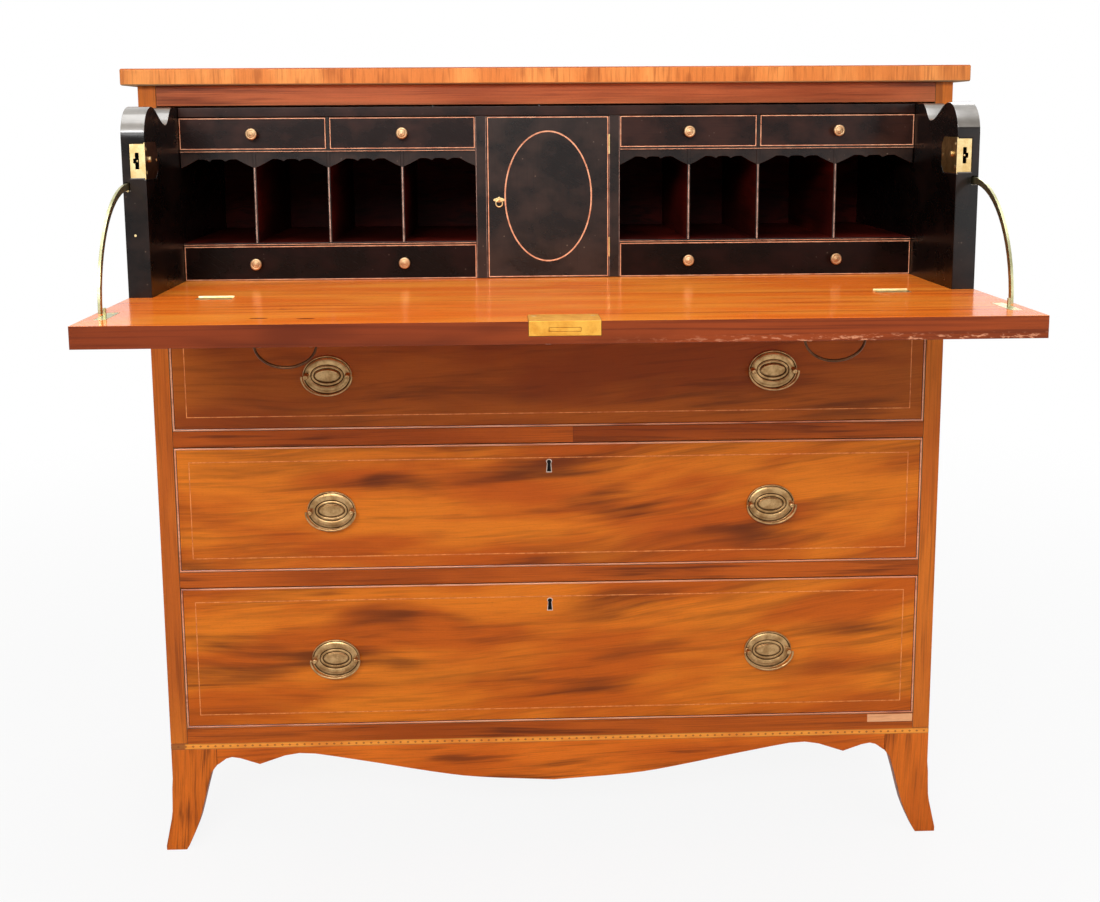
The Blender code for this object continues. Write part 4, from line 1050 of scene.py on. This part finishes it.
knob = turned(
    (
        (0, -0.6), (4.3, -0.6), (4.3, 0.6), (3.4, 1.6), (2.8, 3.4), (2.9, 5.6), (4.0, 7.4), (6.4, 9.2),
        (7.5, 10.6), (7.75, 12.0), (7.4, 13.2), (6.5, 13.9), (5.5, 14.0), (5.1, 13.6), (4.6, 13.6),
        (4.2, 14.2), (3.2, 14.5), (2.7, 14.3), (2.3, 14.7), (1.2, 15.0), (0, 15.0),
    ),
    32,
)
skim = 0.0004
small_front_thick = 0.0105
small_string_inset, small_string_line = 0.0004, 0.0011
knob_drop = 0.0005


def small_drawer(node, knobs, front):
    """A small drawer with a flat black front, its line of stringing, and knobs turned from brass."""
    shape = merged_copy(node)
    geometry = [*shape.verts, *shape.edges, *shape.faces]
    cut = bmesh.ops.bisect_plane(
        shape, geom=geometry, plane_co=(0, interior_y + skim, 0), plane_no=(0, -1, 0), clear_outer=True
    )["geom_cut"]
    bmesh.ops.holes_fill(shape, edges=only(bmesh.types.BMEdge, cut))
    bmesh.ops.translate(shape, vec=(0, -skim, 0), verts=only(bmesh.types.BMVert, cut))
    ease_edges(shape, 0.0003, 1)

    def pick(middle, normal):
        if middle.y < interior_y + small_front_thick:
            return 0
        return 1 if abs(normal.x) > 0.5 else 2

    made_piece(
        f"{node}_finished", shape, body_of(node), "black_polish", [front, lining, long_lining], pick,
        replaces=(node,),
    )
    low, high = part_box(node)
    inset = small_string_inset
    edge = line_frame((low.x + inset, low.z + inset), (high.x - inset, high.z - inset), small_string_line)
    inlaid(f"{node}_stringing", [(edge, on_interior)], node, copper_string)
    height = middle_of(node).z - knob_drop
    for number, x in enumerate(knobs, start=1):
        stamped_piece(
            f"{node}_knob_{number}", [(knob, at((x, interior_y, height), seen_from_front))],
            body_of(node), "aged_brass", [knob_brass], sharp=60,
        )


knob_x = {}
for node in [f"top_drawer_{side}_{place}" for side, _ in sides for place in ("inner", "outer")]:
    knob_x[node] = middle_of(node).x
    small_drawer(node, (knob_x[node],), black_front)
for side, _ in sides:
    knobs = (knob_x[f"top_drawer_{side}_inner"], knob_x[f"top_drawer_{side}_outer"])
    small_drawer(f"lower_drawer_{side}", knobs, black_lower)


# Cupboard door

door_low, door_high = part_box("cupboard_door")
eased("cupboard_door", 0.0003, [black_upright])
door_inset, door_hinge_inset, door_line = 0.0010, 0.0006, 0.0012
door_frame = line_frame(
    (door_low.x + door_inset, door_low.z + door_inset),
    (door_high.x - door_hinge_inset, door_high.z - door_inset), door_line,
)
oval_half_x, oval_half_z, oval_line = 0.0595, 0.0885, 0.0019
oval_middle = Vector((-0.003, interior_y, 0.9362))
door_oval = oval_ring(oval_half_x, oval_half_z, oval_line)
door_marks = [(door_frame, on_interior), (door_oval, at(oval_middle, seen_from_front))]
inlaid("door_stringing", door_marks, "cupboard_door", copper_string)

# Butts in millimetres
knuckle_count, knuckle_pitch, knuckle_gap = 5, 5.28, 0.03
pin_radius, knuckle_radius, knuckle_ease = 1.1, 1.35, 0.25
butt_half = knuckle_count * knuckle_pitch / 2
knuckles = [(0, -butt_half)]
for number in range(knuckle_count):
    start = number * knuckle_pitch - butt_half
    end = start + knuckle_pitch - knuckle_gap
    knuckles += [
        (pin_radius, start), (knuckle_radius, start + knuckle_ease),
        (knuckle_radius, end - knuckle_ease), (pin_radius, end),
    ]
knuckles.append((0, butt_half))
butt = turned(knuckles, 16)
butt_x, butt_y, butt_heights = door_high.x + 0.0005, interior_y - 0.0004, (1.0061, 0.8669)
stamped_piece(
    "door_butts", [(butt, at((butt_x, butt_y, z))) for z in butt_heights],
    body_of("cupboard_door"), "aged_brass", [pale_brass],
)

wing_middle = middle_of("door_pull_plate")
wing_middle.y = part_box("door_pull_plate")[1].y


def wing_pattern():
    """A small plate with two pointed wings and a peak."""
    half_width, half_height, thick = 0.0080, 0.0027, 0.0012
    peak_reach, peak, dip = 0.0042, 0.0017, 0.0006
    shape = bmesh.new()
    for vert in oval_face(shape, half_width, half_height, 28):
        near = max(0.0, 1 - abs(vert.co.x) / peak_reach)
        vert.co.y += peak * near * near if vert.co.y > 0 else -dip * near
    raised(shape, shape.faces[:], thick)
    ease_edges(shape, 0.0004, 2)
    return pattern(shape, "wing")


ring_pivot = wing_middle + Vector((0, -0.0036, 0))
ear_steps, ear_root, ear_reach, ear_half = 12, 0.0020, 0.0028, 0.0021
ear_points = [(0, 0, ear_half)]
for step in range(ear_steps + 1):
    angle = math.pi * step / ear_steps
    ear_points.append((0, -ear_root - ear_reach * math.sin(angle), ear_half * math.cos(angle)))
ear_points.append((0, 0, -ear_half))
ear = wire(ear_points, 0.0007, [1.0] * len(ear_points))
stamped_piece(
    "door_wing_plate",
    [(wing_pattern(), at(wing_middle, seen_from_front)), (ear, at(wing_middle + Vector((0, -0.0008, 0))))],
    body_of("door_pull_plate"), "aged_brass", [pale_brass], replaces=("door_pull_plate",),
)
ring_radius, ring_steps = 0.0045, 40
ring_points = []
for step in range(ring_steps):
    angle = 2 * math.pi * step / ring_steps
    ring_points.append((ring_radius * math.sin(angle), 0, ring_radius * (math.cos(angle) - 1)))
ring = wire(ring_points, 0.0009, [1.0] * ring_steps, closed=True)
stamped_piece(
    "door_ring", [(ring, at(ring_pivot))],
    body_of("door_drop"), "aged_brass", [pale_brass], replaces=("door_drop",), sharp=80,
)


# Lines on the fronts of pilasters and dividers

door_foot_z = door_low.z - 0.0005
pilaster_width, pilaster_line_half, pilaster_line_in, pilaster_line_end = 0.0145, 0.0004, 0.0006, 0.001
shelf_levels = (0.8729, 0.9979)
shelf_line_up, shelf_line_thick, shelf_line_inset = 0.0009, 0.0007, 0.0005
hole_floor_z, valance_drop, divider_half = 0.8764, 0.0204, 0.0008
hole_shares = {"left": (0.25, 0.5, 0.75), "right": (0.234, 0.469, 0.733)}
pilaster_lines, divider_lines, shelf_lines = [], [], []
for side, way in sides:
    block_low, block_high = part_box(f"pigeonholes_{side}")
    edge = block_high.x if way < 0 else block_low.x
    for inset in (pilaster_line_in, pilaster_width - pilaster_line_in):
        middle = edge + way * inset
        low = (middle - pilaster_line_half, door_foot_z + pilaster_line_end)
        high = (middle + pilaster_line_half, block_high.z - pilaster_line_end)
        pilaster_lines.append(strip(low, high))
    near = edge + way * pilaster_width
    reach = way * inner_half - near
    for share in hole_shares[side]:
        middle = near + reach * share
        low = (middle - divider_half, hole_floor_z)
        high = (middle + divider_half, shelf_levels[1] - valance_drop)
        divider_lines.append(strip(low, high))
    low_x, high_x = sorted((near, way * inner_half))
    for level in shelf_levels:
        low = (low_x + shelf_line_inset, level + shelf_line_up)
        high = (high_x - shelf_line_inset, low[1] + shelf_line_thick)
        shelf_lines.append(strip(low, high))
for name, lines, finish in (
    ("pilaster_lines", pilaster_lines, grey_string),
    ("divider_lines", divider_lines, pale_string),
    ("shelf_lines", shelf_lines, copper_string),
):
    inlaid(name, [(line, on_interior) for line in lines], "pigeonholes_left", finish)


# Fall

fall_key_from, fall_key_to, fall_key_deep = 0.02, 0.045, 0.010


def fall_pick(middle, normal):
    if middle.z > fall_high.z - 0.0012:
        return 0
    if middle.z < fall_low.z + bead_rise + 0.0004:
        near_x = min(middle.x - fall_low.x, fall_high.x - middle.x)
        edge = min(near_x, middle.y - fall_low.y, fall_high.y - middle.y)
        # The bead's nose takes the painted highlight; its other faces take the dark bead wood with painted
        # shade.
        if edge < bead_reach and middle.z < fall_low.z + 0.0012:
            return 5 if normal.z < -0.93 else 2
        return 1 if normal.z < -0.5 else 3
    at_keyhole = abs(middle.x) < key_half_width and fall_key_from < middle.y - fall_low.y < fall_key_to
    # Faces inside the keyhole take the painted shade.
    if at_keyhole and abs(normal.z) < 0.9 and middle.z < fall_low.z + fall_key_deep:
        return 4
    return 3


eased(
    "fall_front", 0.0006, [writing_face, fall_outer, bead_wood_and_shade, worn_edge_wood(), hole_painted_shade, bead_painted_highlight],
    fall_pick,
)
fall_face_z = fall_low.z + bead_rise
outer_line = line_frame(
    (fall_low.x + string_side, -(fall_high.y - string_low)),
    (fall_high.x - string_side, -(fall_low.y + string_high)), string_line,
)
outer_place = at((0, 0, fall_face_z), seen_from_below)
inlaid("fall_stringing", [(outer_line, outer_place)], "fall_front", orange_string)
keyhole_lip("fall_front", 2, Vector((key_x, fall_low.y + key_drop, fall_face_z)))

plug_proud = 0.00006


def oval_plug(half_x, half_y):
    shape = bmesh.new()
    oval_face(shape, half_x, half_y, 28)
    raised(shape, shape.faces[:], plug_proud)
    return pattern(shape, "plug")


plug_wood = veneer(
    "plug_wood", (140, 56, 24), (110, 42, 18), (62, 22, 10), across="y", seed=1.1, band=(0.05, 0.004),
    gloss=0.08, coat=0.0, level=0.10,
)
# Each plug's X, its way back from the front, and its half length and half width
plugs = (
    (-0.333, -0.369, 0.0100, 0.0030), (-0.281, -0.3756, 0.0102, 0.0028), (-0.318, -0.2960, 0.0050, 0.0018),
)
stamped_piece(
    "fall_plugs",
    [(oval_plug(half_x, half_y), at((x, front_y + y, board_top))) for x, y, half_x, half_y in plugs],
    body_of("fall_front"), "writing_veneer", [plug_wood],
)


# Fittings of the fall

lock_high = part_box("fall_lock")[1]
lock_screw_x, lock_screw_in = 0.0325, 0.0125
eased("fall_lock", 0.0004, [gold_brass])
eased("fall_lock_bolt", 0.0003, [gold_brass])
lock_places = [(way * lock_screw_x, lock_high.y - lock_screw_in, lock_high.z) for _, way in sides]
screws("lock_screws", brass_screw, lock_places, "fall_front", -0.4, 1.8, slot="bright_brass")

leaf_screw_y, leaf_screw_stagger, leaf_screw_end = 0.0105, 0.003, 0.006
stay_screw_x, stay_screw_y = 0.5061, (-0.36665, -0.41265)
for side, way in sides:
    leaf_low, leaf_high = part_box(f"fall_hinge_{side}")
    eased(f"fall_hinge_{side}", 0.0003, [pale_brass])
    leaf_y = leaf_low.y + leaf_screw_y
    leaf_places = (
        (leaf_low.x + leaf_screw_end, leaf_y, board_top),
        (middle_of(f"fall_hinge_{side}").x, leaf_y + leaf_screw_stagger, board_top),
        (leaf_high.x - leaf_screw_end, leaf_y, board_top),
    )
    screws(f"hinge_screws_{side}", small_screw, leaf_places, "fall_front", way, 0.7)

    eased(f"stay_{side}", 0.0003, [stay_brass], sharp=60)
    stay_places = [(way * stay_screw_x, y, board_top) for y in stay_screw_y]
    screws(f"stay_screws_{side}", small_screw, stay_places, "fall_front", way, 1.1)


# Catches in the drawer sides

# The right catch's inner brass, lighter than the left one's dark bronze: painted light on the same fitting.
right_catch_brass = brass("right_catch_brass", (186, 160, 104), (150, 124, 76), (84, 64, 36), 0.3)
catch_screw_spots = ((0.0060, 0.0141), (0.0060, -0.0141), (0.0530, 0.0))
catch_pin_x, catch_pin_sunk = 0.5065, 0.0012
catch_pin = turned(((0, -3.0), (1.3, -3.0), (1.3, 0.2), (0.9, 0.6), (0, 0.7)), 14)
for side, way in sides:
    node = f"catch_{side}"
    low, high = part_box(node)

    def catch_pick(middle, normal, low=low):
        if normal.y < -0.5 and middle.y < low.y + 0.0004:
            return 0
        # The remaining faces, inside and behind the catch, take the painted shade.
        return 1 if abs(normal.x) > 0.4 or abs(normal.z) > 0.4 else 2

    # The left catch's inner plate takes dark bronze and the right's a lighter brass: painted shade and light
    # on one kind of fitting.
    inner_painted_light = dark_bronze if way < 0 else right_catch_brass
    eased(node, 0.00025, [pale_brass, inner_painted_light, hole_painted_shade], catch_pick, 1)
    face_x = high.x if way < 0 else low.x
    turn = Matrix.Rotation(math.pi / 2 * -way, 4, "Y")
    middle_z = middle_of(node).z
    places = [(face_x, low.y + reach, middle_z + rise) for reach, rise in catch_screw_spots]
    screws(f"catch_screws_{side}", small_screw, places, node, way, 0.8, turn, "dark_bronze")
    eased(f"catch_button_{side}", 0.0003, [pale_brass], sharp=60)
    pin_place = at((way * catch_pin_x, low.y + catch_pin_sunk, middle_z), seen_from_front)
    stamped_piece(
        f"catch_pin_{side}", [(catch_pin, pin_place)], body_of(node), "bright_brass", [pale_brass]
    )

nail = turned(((0, -1.0), (1.4, -1.0), (1.5, 0.02), (1.1, 0.10), (0, 0.14)), 14)
nail_spots = ((-0.5195, 0.9561), (-0.5130, 0.9016))
stamped_piece(
    "side_nails", [(nail, at((x, side_low.y, z), seen_from_front)) for x, z in nail_spots],
    body_of("secretaire_side_left"), "bright_brass", [pale_brass],
)


# Metal nodes that keep their own shape

metals = {"aged_brass": aged_brass, "bright_brass": gold_brass, "dark_bronze": dark_bronze, "steel": steel}
for node, made in frame["nodes"].items():
    if slot_of(node) in metals:
        made.data.materials.clear()
        made.data.materials.append(metals[slot_of(node)])


# Stage

def stage_plane(name, size, place, finish):
    shape = bmesh.new()
    bmesh.ops.create_grid(shape, x_segments=1, y_segments=1, size=size)
    mesh = bpy.data.meshes.new(name)
    shape.to_mesh(mesh)
    shape.free()
    mesh.materials.append(finish)
    made = bpy.data.objects.new(name, mesh)
    made.location = place
    bpy.context.scene.collection.objects.link(made)


def floor_finish():
    """A pale floor that fades into the white backdrop with distance."""
    made = Finish("floor_finish")
    made.show(srgb(215, 215, 215), 0.85, level=0.1)
    across, deep, _ = made.axes(made.place)
    far = made.math("SQRT", across * across + deep * deep, 0.0).between(0.9, 3.0)
    seen = made.ray("Camera").most(made.ray("Transmission")).most(made.ray("Glossy") * 0.53)
    glow = made.node("ShaderNodeEmission", {"Color": (1, 1, 1, 1), "Strength": 1.0})
    blend = made.node("ShaderNodeMixShader", {0: seen * (0.9 + far * 0.1), 2: glow})
    made.tree.links.new(made.shader.outputs[0], blend.socket.node.inputs[1])
    made.tree.links.new(blend.socket, made.tree.nodes["Material Output"].inputs[0])
    return made.material


stage_plane("floor", 40, (0, 0, 0), floor_finish())

world = bpy.data.worlds.new("studio")
bpy.context.scene.world = world
world.use_nodes = True
world.node_tree.nodes.clear()
sky = Nodes(world.node_tree)
glossy = sky.ray("Glossy")
_, ahead, up = sky.axes(sky.node("ShaderNodeTexCoord", output="Generated"))
room = 0.50 + 0.50 * (ahead + up * 0.6).between(-0.35, 0.25)
plain = sky.ray("Camera").most(sky.ray("Transmission"))
strength = plain + (1 - plain) * (glossy * room + (1 - glossy) * 0.19)
backdrop = sky.node("ShaderNodeBackground", {"Color": (1, 1, 1, 1), "Strength": strength})
shown = world.node_tree.nodes.new("ShaderNodeOutputWorld")
world.node_tree.links.new(backdrop.socket, shown.inputs[0])


def lamp(name, place, aim, width, height, power):
    light = bpy.data.lights.new(name, "AREA")
    light.shape = "RECTANGLE"
    light.size = width
    light.size_y = height
    light.energy = power
    made = bpy.data.objects.new(name, light)
    made.location = place
    made.rotation_euler = (Vector(aim) - Vector(place)).to_track_quat("-Z", "Y").to_euler()
    bpy.context.scene.collection.objects.link(made)


lamp("key_light", (-0.8, -3.2, 2.15), (0, 0, 0.5), 2.0, 0.9, 75)
lamp("fill_light", (2.2, -3.0, 1.3), (0, 0, 0.55), 1.8, 1.6, 14)
lamp("top_light", (0.0, -0.7, 3.1), (0, -0.25, 0.8), 2.4, 1.6, 55)
lamp("back_light", (0.8, 2.6, 2.6), (0, 0.2, 0.8), 2.2, 1.4, 40)

# Camera: the photograph's, with its focal length and shift in the photograph's pixels

picture_width, focal_length, shift_down = 1100, 1334.23, 128
film_width = 36
pan, pitch, roll = -0.0354, -0.1482, -0.0062
eye = Vector((-0.066, front_y - 1.8221, 1.0336))

camera_data = bpy.data.cameras.new("camera")
camera_data.sensor_width = film_width
camera_data.sensor_fit = "HORIZONTAL"
camera_data.lens = focal_length / picture_width * film_width
camera_data.shift_y = -shift_down / picture_width
camera_data.clip_start = 0.05
camera = bpy.data.objects.new("camera", camera_data)
tilt = Matrix.Rotation(math.pi / 2 + pitch, 4, "X")
turn = Matrix.Rotation(pan, 4, "Z") @ tilt @ Matrix.Rotation(roll, 4, "Z")
camera.matrix_world = Matrix.Translation(eye) @ turn
bpy.context.scene.collection.objects.link(camera)
bpy.context.scene.camera = camera

bpy.context.scene.view_settings.view_transform = "Standard"
